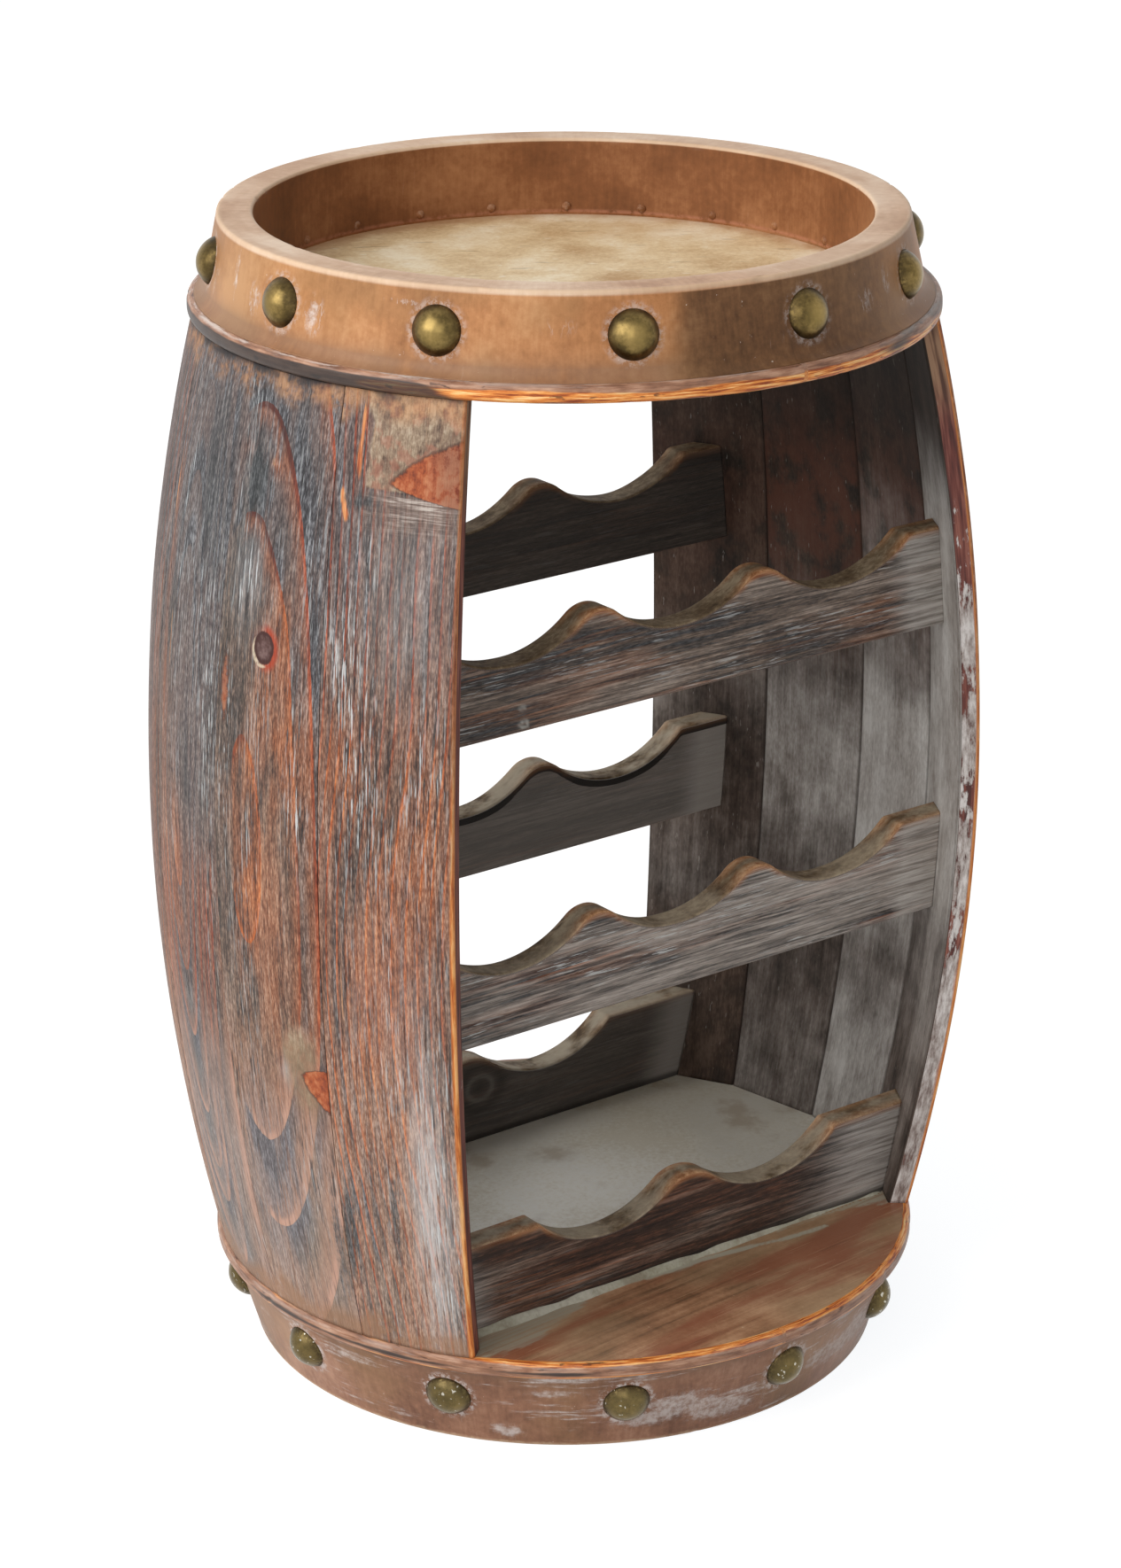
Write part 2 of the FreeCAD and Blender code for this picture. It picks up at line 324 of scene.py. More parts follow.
class Amount:
    """A number or colour that a material's nodes work out at each place of a surface."""

    def __init__(self, finish, socket):
        self.finish, self.socket = finish, socket

    def __add__(self, other):
        return self.finish.calc("ADD", self, other)

    def __sub__(self, other):
        return self.finish.calc("SUBTRACT", self, other)

    def __rsub__(self, other):
        return self.finish.calc("SUBTRACT", other, self)

    def __mul__(self, other):
        return self.finish.calc("MULTIPLY", self, other)

    def __truediv__(self, other):
        return self.finish.calc("DIVIDE", self, other)

    def at_most(self, other):
        return self.finish.calc("MINIMUM", self, other)

    def at_least(self, other):
        return self.finish.calc("MAXIMUM", self, other)

    def sway(self, reach):
        """The way of a noise from its middle, times a reach."""
        return (self - 0.5) * reach

    def step(self, low, high):
        """Smooth step from 0 at low to 1 at high; low may be the larger."""
        node = self.finish.node("MapRange", self, low, high, interpolation_type="SMOOTHSTEP")
        return Amount(self.finish, node.outputs[0])

    def ramp(self, *stops):
        """Colours between stops given as (place, red, green, blue)."""
        node = self.finish.node("ValToRGB", self)
        elements = node.color_ramp.elements
        elements.remove(elements[1])
        elements[0].position, elements[0].color = stops[0][0], srgb(*stops[0][1:])
        for place, *colour in stops[1:]:
            elements.new(place).color = srgb(*colour)
        return Amount(self.finish, node.outputs[0])


class Finish:
    """Builds the nodes of one material, coat on coat. Colours are (red, green, blue) or an Amount.

    Its streaks follow the run, which is the name of the field with the grain's or brush's coordinates.
    """

    def __init__(self, name, run=None, specular=0.35, metallic=0.0):
        self.run = run
        self.colour = None
        self.material = bpy.data.materials.new(name)
        self.material.use_nodes = True
        self.tree = self.material.node_tree
        self.shader = self.tree.nodes["Principled BSDF"]
        self.fill(self.shader, Specular_IOR_Level=specular, Metallic=metallic)

    def node(self, kind, *values, **settings):
        return add_node(self.tree, kind, *values, **settings)

    def fill(self, node, **inputs):
        """Sets a node's inputs by name, with _ for a space."""
        for name, value in inputs.items():
            put(self.tree, node.inputs[name.replace("_", " ")], value)

    def field(self, name):
        return Amount(self, self.node("Attribute", attribute_name=name).outputs["Fac"])

    def fields(self, *names):
        return [self.field(name) for name in names]

    def calc(self, operation, *values):
        return Amount(self, self.node("Math", *values, operation=operation).outputs[0])

    def noise(self, where, detail=2.0, rough=0.5, distortion=0.0):
        node = self.node("TexNoise")
        self.fill(node, Vector=where, Scale=1.0, Detail=detail, Roughness=rough, Distortion=distortion)
        return Amount(self, node.outputs[0])

    def streaks(self, across, along, shift=0.0, **settings):
        """Noise with these cells per metre across and along the run."""
        where = self.node("Attribute", attribute_name=self.run).outputs["Vector"]
        where = self.node("VectorMath", where, (across, along, 1.0), operation="MULTIPLY").outputs[0]
        if shift:
            where = self.node("VectorMath", where, (shift, shift, shift), operation="ADD").outputs[0]
        return self.noise(where, **settings)

    def specks(self, scale, **settings):
        """Noise with this many cells per metre in all directions."""
        where = self.node("TexCoord").outputs["Object"]
        where = self.node("VectorMath", where, (scale, scale, scale), operation="MULTIPLY").outputs[0]
        return self.noise(where, **settings)

    def mix(self, share, under, over):
        colours = [srgb(*colour) if isinstance(colour, tuple) else colour for colour in (under, over)]
        node = self.node("Mix", share, *[None] * 5, *colours, data_type="RGBA")
        return Amount(self, node.outputs[2])

    def coat(self, share, colour):
        """Lays a colour over what is there, as far as its share goes."""
        self.colour = self.mix(share, self.colour, colour)

    def finish(self, height, bump, depth, roughness):
        relief = self.node("Bump")
        self.fill(relief, Strength=bump, Distance=depth, Height=height)
        self.fill(self.shader, Base_Color=self.colour, Roughness=roughness, Normal=relief.outputs[0])
        return self.material


TRAY_COPPER = ((0.37, 142, 92, 54), (0.5, 180, 124, 79), (0.63, 206, 154, 108))
BASE_COPPER = ((0.37, 108, 73, 55), (0.5, 146, 105, 82), (0.63, 180, 139, 115))
LATE_WOOD, GLOW = (1.0, 0.2), (3.6, 0.6)


def growth_lines(wood):
    """A function for bands that end sharply with their ring, the share of the band after them, and each
    ring's own strength."""
    count = wood.field("ring") + wood.streaks(150, 12, 7.3, detail=3).sway(wood.field("wobble"))
    place = wood.calc("FRACT", count)
    chance = wood.node("TexWhiteNoise", noise_dimensions="1D")
    wood.fill(chance, W=wood.calc("FLOOR", count))
    gap = (1.0 - place) / wood.field("slope")
    share = gap / wood.field("thick")
    sharp = gap.step(0.0, 0.25 * MM)

    def ring_end(begins, full):
        """Share of a band; both places are counted from the ring's end in widths of the late wood."""
        return share.step(begins, full) * sharp

    return ring_end, place.step(0.55, 0.08), Amount(wood, chance.outputs["Value"])


def flecks(wood, across, along, shift, low, high):
    """Narrow dashes along the grain."""
    return wood.streaks(across, along, shift, detail=3, rough=0.62).step(low, high)


def coat_rings(wood, tone, soot_tone, soft, fibre, zone):
    """Warm early wood, charcoal after the late wood, then the late wood in red, orange and soft pink."""
    warm, arch = wood.fields("warm", "arch")
    orange = tone.ramp((0.39, 96, 48, 28), (0.5, 164, 96, 58), (0.61, 214, 150, 102))
    wood.coat((warm * zone.step(0.34, 0.58) * 0.85).at_most(0.9), orange)
    ring_end, after, vigour = growth_lines(wood)
    lines = ring_end(*LATE_WOOD)
    wood.coat(ring_end(*GLOW) * wood.field("glow"), wood.mix(soft * 0.7, orange, (172, 138, 120)))
    smoke = wood.streaks(90, 12, 13.0, detail=3)
    band = after * smoke.step(0.36, 0.54) * (vigour * 0.6 + 0.4)
    cover = band * 0.75 + (fibre + zone * 0.7).step(0.74, 0.98) * 0.5
    soot = soot_tone.ramp((0.4, 28, 28, 31), (0.5, 66, 67, 71), (0.6, 126, 128, 132))
    slate_blue = soot_tone.ramp((0.4, 66, 64, 68), (0.5, 94, 92, 97), (0.6, 130, 126, 130))
    wood.coat((wood.field("char") * cover).at_most(0.92), wood.mix(soft * 0.8, soot, slate_blue))
    shows = wood.streaks(110, 10, 23.0, detail=3).step(0.38, 0.58)
    strength = wood.field("late") * (vigour * 0.7 + 0.3) + shows * 0.4 + arch * 0.4
    faint = 1.0 - soft * (1.0 - shows) * 0.75
    late = lines * strength * faint * wood.field("figure")
    red = tone.ramp((0.39, 80, 34, 26), (0.5, 148, 68, 44), (0.6, 194, 106, 70))
    amber = tone.ramp((0.39, 110, 54, 30), (0.5, 184, 100, 54), (0.6, 224, 150, 96))
    late_colour = wood.mix(warm.step(0.2, 0.8), wood.mix(arch, red, (74, 34, 28)), amber)
    wood.coat(late.at_most(0.9), wood.mix(soft * 0.85, late_colour, (188, 150, 130)))
    flame = (wood.field("blaze") + fibre.sway(1.4)).step(0.4, 0.8)
    wood.coat(flame * 0.8, fibre.ramp((0.4, 176, 84, 40), (0.5, 214, 132, 74), (0.6, 234, 172, 112)))
    return lines, band


def coat_dashes(wood, band, fibre):
    """White dashes beside dark ones, and grey wash; gives the shares of the white and the dark ones."""
    wash, dash = wood.fields("wash", "dash")
    cluster = (wood.streaks(60, 9, 31.0, detail=2).step(0.5, 0.62) * 0.75 + dash).at_most(1.0)
    near = cluster * (band * 0.6 + 0.4)
    white = flecks(wood, 1150, 52, 5.0, 0.565, 0.62) * (near + dash + wash)
    pores = flecks(wood, 1050, 50, 17.0, 0.46, 0.39) * (cluster * 0.55 + 0.4)
    wood.coat(pores, (40, 37, 38))
    wood.coat((white * 0.9).at_most(0.88), (198, 202, 202))
    wood.coat((wash * fibre.step(0.32, 0.54) * 0.7).at_most(0.85), (202, 200, 199))
    return white, pores


def coat_patches(wood, soot_tone, soft, grit, fibre, mottle, cloud):
    """Sanded patch with saw marks below it, and dark blots."""
    sanded = (mottle * 0.42 + cloud * 0.33 + grit * 0.25).ramp(
        (0.40, 88, 70, 57), (0.47, 124, 102, 85), (0.53, 148, 128, 106), (0.60, 178, 160, 138)
    )
    rosy = wood.streaks(170, 120, 44.0, detail=4).step(0.52, 0.62)
    sanded = wood.mix(rosy * 0.5, sanded, (156, 98, 78))
    sanded = wood.mix(soft.step(0.0, 0.25) * 0.6, sanded, (138, 116, 90))
    bare = (wood.field("bare") + (fibre + cloud - 1.0) * 0.9).step(0.2, 0.8)
    wood.coat(bare * 0.9, sanded)
    scratch = wood.streaks(45, 760, 9.0, detail=5, rough=0.75, distortion=0.6)
    sawn = (scratch * 0.6 + cloud * 0.25 + fibre * 0.15).ramp(
        (0.4, 66, 54, 49), (0.5, 122, 104, 95), (0.6, 190, 178, 168)
    )
    wood.coat(wood.field("saw") * (cloud.step(0.36, 0.58) * 0.6 + 0.35), sawn)
    blot = (wood.field("stain") + (fibre * 0.7 + mottle * 0.3).sway(3.4)).step(0.2, 0.9)
    wood.coat(blot * 0.85, soot_tone.ramp((0.4, 30, 32, 33), (0.5, 56, 59, 61), (0.6, 98, 100, 101)))


def coat_knots(wood, patch_tone, soft, fibre, mottle, cloud):
    """Red wedges with dark rims, then knots with a halo, a pale crescent and a greyish heart."""
    ragged = patch_tone.sway(9.0 * MM)
    wedge = wood.field("wedge") + ragged
    knot_red = (mottle * 0.55 + cloud * 0.35 + fibre * 0.1).ramp(
        (0.4, 116, 48, 26), (0.5, 164, 80, 42), (0.6, 186, 116, 76)
    )
    near_edge = wood.field("edge").step(19.0 * MM, 5.0 * MM)
    tanned = near_edge * mottle.step(0.34, 0.54) * soft.step(0.2, 0.0) * 0.75
    wood.coat(wedge.step(-0.6 * MM, 0.4 * MM) * 0.92, wood.mix(tanned, knot_red, (148, 101, 77)))
    wood.coat(wedge.step(-1.8 * MM, -0.4 * MM) * wedge.step(1.2 * MM, -0.2 * MM) * 0.6, (64, 38, 32))
    knot = wood.field("knot") + ragged * 0.25
    wood.coat(knot.step(-4.2 * MM, -0.6 * MM) * wood.field("halo") * 0.85, (160, 56, 30))
    wood.coat(wood.field("crescent").step(-0.4 * MM, 0.4 * MM) * 0.75, (206, 190, 164))
    wood.coat(knot.step(-0.5 * MM, 0.3 * MM), (62, 34, 30))
    wood.coat(knot.step(0.8 * MM, 2.6 * MM) * 0.75, mottle.ramp((0.4, 78, 52, 48), (0.6, 122, 98, 94)))


def coat_ends(wood, patch_tone, fibre, cloud):
    """Smears and shade at both ends, worn corners."""
    corner = wood.field("corner")
    smear = patch_tone.ramp((0.4, 112, 82, 64), (0.5, 150, 108, 78), (0.6, 188, 140, 98))
    wood.coat(wood.field("head") * patch_tone.step(0.38, 0.54) * 0.65, smear)
    wood.coat(wood.field("shadow") * cloud.step(0.7, 0.4), (46, 42, 42))
    wood.coat(wood.field("foot") * patch_tone.step(0.34, 0.52) * 0.7, (150, 112, 84))
    edge = wood.field("edge") + fibre.sway(4.0 * MM) + corner * (-1.3 * MM)
    rubbed = fibre.ramp((0.38, 166, 80, 34), (0.5, 218, 134, 66), (0.6, 244, 184, 118))
    wood.coat(edge.step(1.5 * MM, 0.2 * MM) * corner, rubbed)


def stave_outside():
    wood = Finish("stave_outside", "grain", specular=0.25)
    soft = wood.field("soft")
    grit = wood.streaks(1500, 300, detail=2, rough=0.6)
    fibre = wood.streaks(620, 26, 4.1, detail=6, rough=0.72)
    zone = wood.streaks(46, 8, 3.1, detail=4, rough=0.6)
    mottle = wood.streaks(300, 230, 2.0, detail=5, rough=0.65)
    cloud = wood.streaks(60, 50, 6.0, detail=3)
    mixed = grit * 0.34 + fibre * 0.4 + zone * 0.26
    tone = mixed + soft * (0.5 - mixed) * 0.45 + wood.field("pale")
    soot_tone = grit * 0.5 + fibre * 0.5
    patch_tone = mottle * 0.6 + cloud * 0.4
    brown = ((0.39, 50, 44, 41), (0.46, 92, 78, 69), (0.53, 132, 111, 95), (0.61, 182, 158, 140))
    slate = ((0.39, 46, 46, 48), (0.46, 82, 81, 82), (0.53, 113, 108, 104), (0.61, 168, 163, 158))
    wood.colour = tone.ramp(*brown)
    wood.coat((wood.field("cool") + zone.sway(1.4)).step(0.1, 0.9), tone.ramp(*slate))
    lines, band = coat_rings(wood, tone, soot_tone, soft, fibre, zone)
    white, pores = coat_dashes(wood, band, fibre)
    coat_patches(wood, soot_tone, soft, grit, fibre, mottle, cloud)
    coat_knots(wood, patch_tone, soft, fibre, mottle, cloud)
    coat_ends(wood, patch_tone, fibre, cloud)
    height = grit * 0.45 + fibre * 0.35 + lines * 0.3 + white * 0.4 + pores * -0.5
    return wood.finish(height, 0.6, 0.55 * MM, fibre * 0.4 + 0.42)


def stave_inside():
    wood = Finish("stave_inside", "grain", specular=0.25)
    fibre = wood.streaks(420, 20, detail=5, rough=0.65)
    grit = wood.streaks(1000, 320, 2.0, detail=2)
    cloud = wood.streaks(26, 9, 4.0, detail=4, rough=0.5)
    smudge = wood.streaks(70, 50, 15.0, detail=5, rough=0.6)
    tone = fibre * 0.18 + cloud * 0.34 + smudge * 0.3 + grit * 0.18
    wood.colour = tone.ramp((0.4, 42, 34, 29), (0.5, 70, 57, 48), (0.6, 104, 88, 76))
    wood.coat(wood.field("warm") * smudge.step(0.34, 0.58) * 0.7, (100, 60, 45))
    grey = tone.ramp((0.4, 148, 138, 130), (0.5, 190, 184, 178), (0.6, 222, 219, 214))
    cover = wood.field("wash") + (cloud * 0.24 + fibre * 0.12 + smudge * 0.16)
    wood.coat(cover.step(0.38, 0.90) * 0.94, grey)
    wood.coat((wood.field("stain") * smudge.step(0.34, 0.56)).at_most(0.85), (58, 50, 44))
    wood.coat(flecks(wood, 600, 120, 27.0, 0.66, 0.72) * 0.35, (190, 184, 176))
    wood.coat(wood.field("edge").step(1.6 * MM, 0.3 * MM) * 0.5, (52, 42, 36))
    # Painted shade: the inside darkens towards the top, under the top board
    wood.coat(wood.field("char") * 0.65, (22, 16, 13))
    return wood.finish(fibre + smudge, 0.2, 0.4 * MM, 0.68)


def stave_edge():
    """The panels' front and back edges: red paint that flakes down to white and grey."""
    paint = Finish("stave_edge_paint", "grain")
    flake = paint.streaks(260, 62, 3.0, detail=6, rough=0.7)
    zone = paint.streaks(20, 26, 8.0, detail=3)
    left = flake + zone.sway(0.7) + paint.field("flake")
    fibre = paint.streaks(500, 34, detail=4)
    paint.colour = fibre.ramp((0.38, 72, 36, 32), (0.5, 106, 54, 46), (0.62, 140, 86, 72))
    white = flake.ramp((0.4, 120, 104, 97), (0.5, 172, 161, 155), (0.62, 214, 208, 204))
    paint.coat(left.step(0.47, 0.54), white)
    bare = fibre.ramp((0.38, 84, 54, 40), (0.5, 122, 88, 66), (0.62, 160, 124, 96))
    paint.coat(paint.field("head") * zone.step(0.25, 0.45), bare)
    edge = paint.field("edge") + fibre.sway(4.0 * MM)
    paint.coat(edge.step(2.3 * MM, 1.0 * MM), fibre.ramp((0.38, 170, 88, 40), (0.6, 232, 158, 90)))
    return paint.finish(left.step(0.54, 0.48), 0.5, 0.4 * MM, 0.55)


def rail_faces():
    wood = Finish("rail_faces", "grain", specular=0.25)
    wash, stain, plain, mark = wood.fields("wash", "stain", "plain", "mark")
    grit = wood.streaks(1400, 220, detail=3, rough=0.62)
    fibre = wood.streaks(680, 24, 1.7, detail=6, rough=0.7)
    broad = wood.streaks(75, 7, 3.0, detail=4, rough=0.6)
    tone = grit * 0.24 + fibre * 0.52 + broad * 0.24
    brown = ((0.39, 38, 32, 29), (0.46, 76, 64, 56), (0.53, 114, 96, 83), (0.61, 162, 142, 126))
    wood.colour = tone.ramp(*brown)
    ring_end, after, vigour = growth_lines(wood)
    lines = ring_end(*LATE_WOOD)
    warm = wood.streaks(60, 7, 12.0, detail=2).step(0.44, 0.62)
    rust = lines * vigour * 0.8 + warm * 0.25
    wood.coat(rust * warm, fibre.ramp((0.38, 110, 56, 32), (0.6, 196, 122, 76)))
    blue = (after * 0.65 + 0.35) * (fibre + broad).step(1.02, 0.88)
    wood.coat(blue * 0.85, grit.ramp((0.38, 24, 27, 30), (0.6, 80, 84, 88)))

    # White dashes, chalky wash, dark checks and red-brown stain
    zone = wood.streaks(70, 9, 40.0, detail=2).step(0.44, 0.58)
    white = flecks(wood, 1050, 50, 5.0, 0.57, 0.63) * zone * (1.0 - stain * 0.5)
    wood.coat(white * (wash + 0.5), (196, 196, 194))
    spread = fibre * 0.5 + broad + wash * 0.3
    chalk = fibre.ramp((0.38, 142, 134, 126), (0.5, 182, 175, 168), (0.62, 206, 201, 195))
    wood.coat((wash * spread.step(0.72, 0.98)).at_most(0.85), chalk)
    checks = flecks(wood, 760, 12, 51.0, 0.43, 0.38) * (1.0 - (wash + plain).at_most(1.0))
    wood.coat(checks * 0.7, (30, 26, 25))
    red_stain = tone.ramp((0.39, 28, 20, 17), (0.5, 64, 45, 36), (0.6, 120, 76, 57))
    wood.coat(stain * broad.step(0.68, 0.46), red_stain)

    # Plain back rails, shade, black band, painted shadow along the foot, ring marks, worn peaks
    flat = tone.ramp((0.39, 54, 49, 45), (0.5, 74, 67, 61), (0.61, 98, 90, 83))
    wood.coat(plain, wood.mix(wash * 0.9, flat, (160, 153, 146)))
    wood.coat(wood.field("dark"), (34, 29, 26))
    wood.coat((wood.field("band") + broad.sway(1.2)).step(0.4, 0.6) * 0.95, (24, 20, 18))
    # Painted shadow: the bottom rails darken towards the base board they stand on
    wood.coat(wood.field("foot").step(5.0 * MM, 1.5 * MM) * 0.75, (26, 22, 19))
    wood.coat(mark * 0.8, (178, 174, 166))
    wood.coat(mark * -0.8, (26, 23, 20))
    edge = wood.field("edge") + fibre.sway(6.0 * MM)
    worn = edge.step(4.2 * MM, 0.6 * MM) * wood.field("corner")
    wood.coat(worn, fibre.ramp((0.38, 142, 84, 50), (0.6, 212, 156, 108)))
    height = grit * 0.5 + fibre * 0.5 + blue * -0.3 + white * 0.4
    return wood.finish(height, 0.55, 0.5 * MM, fibre * 0.4 + 0.45)


def rail_cut():
    """The sawn hollows and peaks, olive brown and rubbed pale on the peaks."""
    wood = Finish("rail_cut", "grain", specular=0.25)
    grit = wood.streaks(420, 260, detail=5, rough=0.7)
    cloud = wood.streaks(60, 40, 6.0, detail=4, rough=0.6)
    tone = grit * 0.5 + cloud * 0.5
    wood.colour = tone.ramp((0.38, 78, 62, 44), (0.5, 122, 101, 75), (0.62, 168, 149, 120))
    wood.coat(wood.field("wash") * cloud.step(0.36, 0.56) * 0.85, (190, 178, 158))
    edge = wood.field("edge") + tone.sway(16.0 * MM)
    worn = edge.step(6.5 * MM, 0.8 * MM) * wood.field("corner")
    wood.coat(worn, grit.ramp((0.36, 150, 96, 58), (0.5, 192, 138, 94), (0.62, 220, 172, 128)))
    wood.coat(wood.field("dark") * 0.5, (70, 60, 50))
    wood.coat(wood.field("mark") * -0.8, (54, 38, 28))
    return wood.finish(grit, 0.35, 0.4 * MM, 0.7)


def pale_marks(paint, zone, fine, scuffed):
    """Share of pale marks: dry scuffs round a hoop, upright scratches, smudges, rings round the studs."""
    dry = paint.streaks(48, 420, 9.0, detail=6, rough=0.72)
    scuff = (dry * 0.5 + zone * 0.5 + paint.field("scuff")).step(0.565, 0.66)
    upright = paint.streaks(600, 55, 19.0, detail=3, rough=0.6).step(0.62, 0.72)
    scratch = upright * paint.streaks(26, 30, 25.0, detail=2).step(0.56, 0.7)
    near = paint.field("stud").step(4.0 * MM, 0.3 * MM) * fine.step(0.44, 0.58)
    smudged = paint.field("smudge")
    smear = paint.streaks(140 - 84 * scuffed, 110 + 40 * scuffed, 29.0, detail=5, rough=0.68)
    powder = (smudged + smear * 1.6 + fine * 0.4).step(1.62 - 0.1 * scuffed, 2.1 - 0.1 * scuffed)
    split = paint.calc("ABSOLUTE", paint.streaks(230, 60, 35.0, detail=4, rough=0.6) - 0.5)
    cracks = split.step(0.035, 0.005) * smudged.step(0.2, 0.6)
    smudge = (powder * 0.75).at_least(cracks * (0.5 - 0.4 * scuffed))
    pale = (scratch * 0.4).at_least(near * (0.35 + 0.4 * scuffed))
    return pale.at_least(scuff * (0.35 + 0.35 * scuffed)).at_least(smudge * 0.85)


def hoop_paint(name, copper, scuffed):
    """Copper-brown paint with scuffs, scratches and worn edges; scuffed is how worn the hoop is."""
    paint = Finish(name, "wrap", specular=0.2)
    cloud = paint.specks(17, detail=4, rough=0.55)
    brush = paint.streaks(420, 40, 2.0, detail=3, rough=0.6)
    mottle = paint.specks(240, detail=4, rough=0.65)
    tone = cloud * 0.62 + brush * 0.14 + mottle * 0.24
    paint.colour = tone.ramp(*copper)
    paint.coat(paint.specks(12, detail=3).step(0.46, 0.62) * 0.4, (140, 108, 70))
    # Painted shade: the copper is darkened over sweeps of the hoop's outside
    painted_shade = paint.field("painted_shade") + cloud.sway(0.9)
    shaded_copper = tone.ramp((0.4, 66, 44, 27), (0.5, 98, 68, 44), (0.6, 126, 92, 62))
    paint.coat(painted_shade.step(0.25, 0.75) * 0.9, shaded_copper)
    # Painted shade: grey-brown in the cove above the board, outside the darkened sweep
    cove_shade = paint.field("cove") * cloud.step(0.3, 0.5) * painted_shade.step(0.75, 0.25)
    paint.coat(cove_shade * 0.6, (122, 96, 78))

    zone = paint.streaks(15, 60, 5.0, detail=3)
    fine = paint.specks(330, detail=4, rough=0.7)
    pale = pale_marks(paint, zone, fine, scuffed)
    chips = fine.step(0.70, 0.74) * 0.8
    paint.coat(pale, fine.ramp((0.38, 172, 154, 144), (0.58, 216, 208, 204)))
    paint.coat(chips, (226, 214, 200))

    # Painted sheen on the rim's top, worn edges, brown inner wall with a pink line at its foot
    rim = tone.ramp((0.38, 190, 152, 122), (0.5, 212, 180, 152), (0.62, 226, 202, 178))
    paint.coat(paint.field("rim") * (zone.step(0.36, 0.56) * 0.36 + 0.62), rim)
    edge = paint.field("edge") + mottle.sway(4.0 * MM)
    paint.coat(edge.step(2.4 * MM, 0.5 * MM) * 0.45, (222, 194, 162))
    wall = tone.ramp((0.3, 92, 56, 32), (0.5, 132, 84, 51), (0.7, 172, 120, 80))
    paint.coat(paint.field("inner") * (1.0 - pale * 0.6), wall)
    paint.coat(paint.field("line") * mottle.step(0.34, 0.54) * 0.6, (186, 126, 98))
    height = brush * 0.15 + mottle * 0.3 + chips * -0.8 + pale * 0.4
    return paint.finish(height, 0.22, 0.4 * MM, mottle * 0.2 + 0.36 + pale * 0.2)


def lip_paint(name):
    """Rounded edge of a board: paint worn through to bright orange wood, with soot and painted shadow, chalk
    and a painted highlight in places.
    """
    paint = Finish(name, "wrap")
    mottle = paint.streaks(70, 260, 1.0, detail=4, rough=0.6)
    streak = paint.streaks(46, 800, 3.0, detail=5, rough=0.65)
    zone = paint.streaks(20, 110, 7.0, detail=3)
    tone = mottle * 0.5 + streak * 0.5
    paint.colour = tone.ramp((0.38, 108, 72, 54), (0.5, 152, 109, 84), (0.62, 188, 147, 121))
    bare = ((0.38, 128, 54, 22), (0.46, 200, 108, 42), (0.54, 234, 154, 76), (0.63, 248, 204, 140))
    paint.coat((paint.field("worn") + zone.sway(1.3)).step(0.36, 0.54), streak.ramp(*bare))
    paint.coat(paint.streaks(90, 300, 12.0, detail=3).step(0.63, 0.69) * 0.75, (66, 38, 26))
    # Soot and painted shadow on the lip
    paint.coat((paint.field("soot") + zone.sway(0.9)).step(0.4, 0.65) * 0.9, (42, 38, 37))
    dry = paint.streaks(60, 500, 21.0, detail=5, rough=0.7)
    # Chalk and a painted highlight along the lip's top
    paint.coat(paint.field("shine") * (dry + zone).step(0.94, 1.12) * 0.85, (216, 206, 198))
    return paint.finish(streak, 0.3, 0.4 * MM, 0.42)


def tray_floor_paint():
    paint = Finish("tray_floor_paint", "sweep")
    brush = paint.streaks(150, 12, detail=5, rough=0.65)
    cloud = paint.specks(13, detail=6, rough=0.62)
    fine = paint.specks(380, detail=4, rough=0.7)
    tone = brush * 0.1 + cloud * 0.72 + fine * 0.18
    paint.colour = tone.ramp((0.39, 186, 148, 100), (0.5, 226, 199, 156), (0.58, 244, 227, 196))
    paint.coat(paint.streaks(9, 5, 2.0, detail=4).step(0.48, 0.64) * 0.5, (196, 150, 96))
    paint.coat(paint.streaks(420, 90, 6.0, detail=3).step(0.67, 0.72) * 0.8, (246, 238, 224))
    paint.coat(paint.streaks(200, 40, 16.0, detail=4).step(0.62, 0.72) * 0.45, (140, 108, 74))
    ragged = paint.field("rim") + cloud.sway(40.0 * MM)
    paint.coat(ragged.step(14.0 * MM, 0.0) * 0.6, (170, 122, 84))
    return paint.finish(brush + fine, 0.16, 0.4 * MM, 0.46)


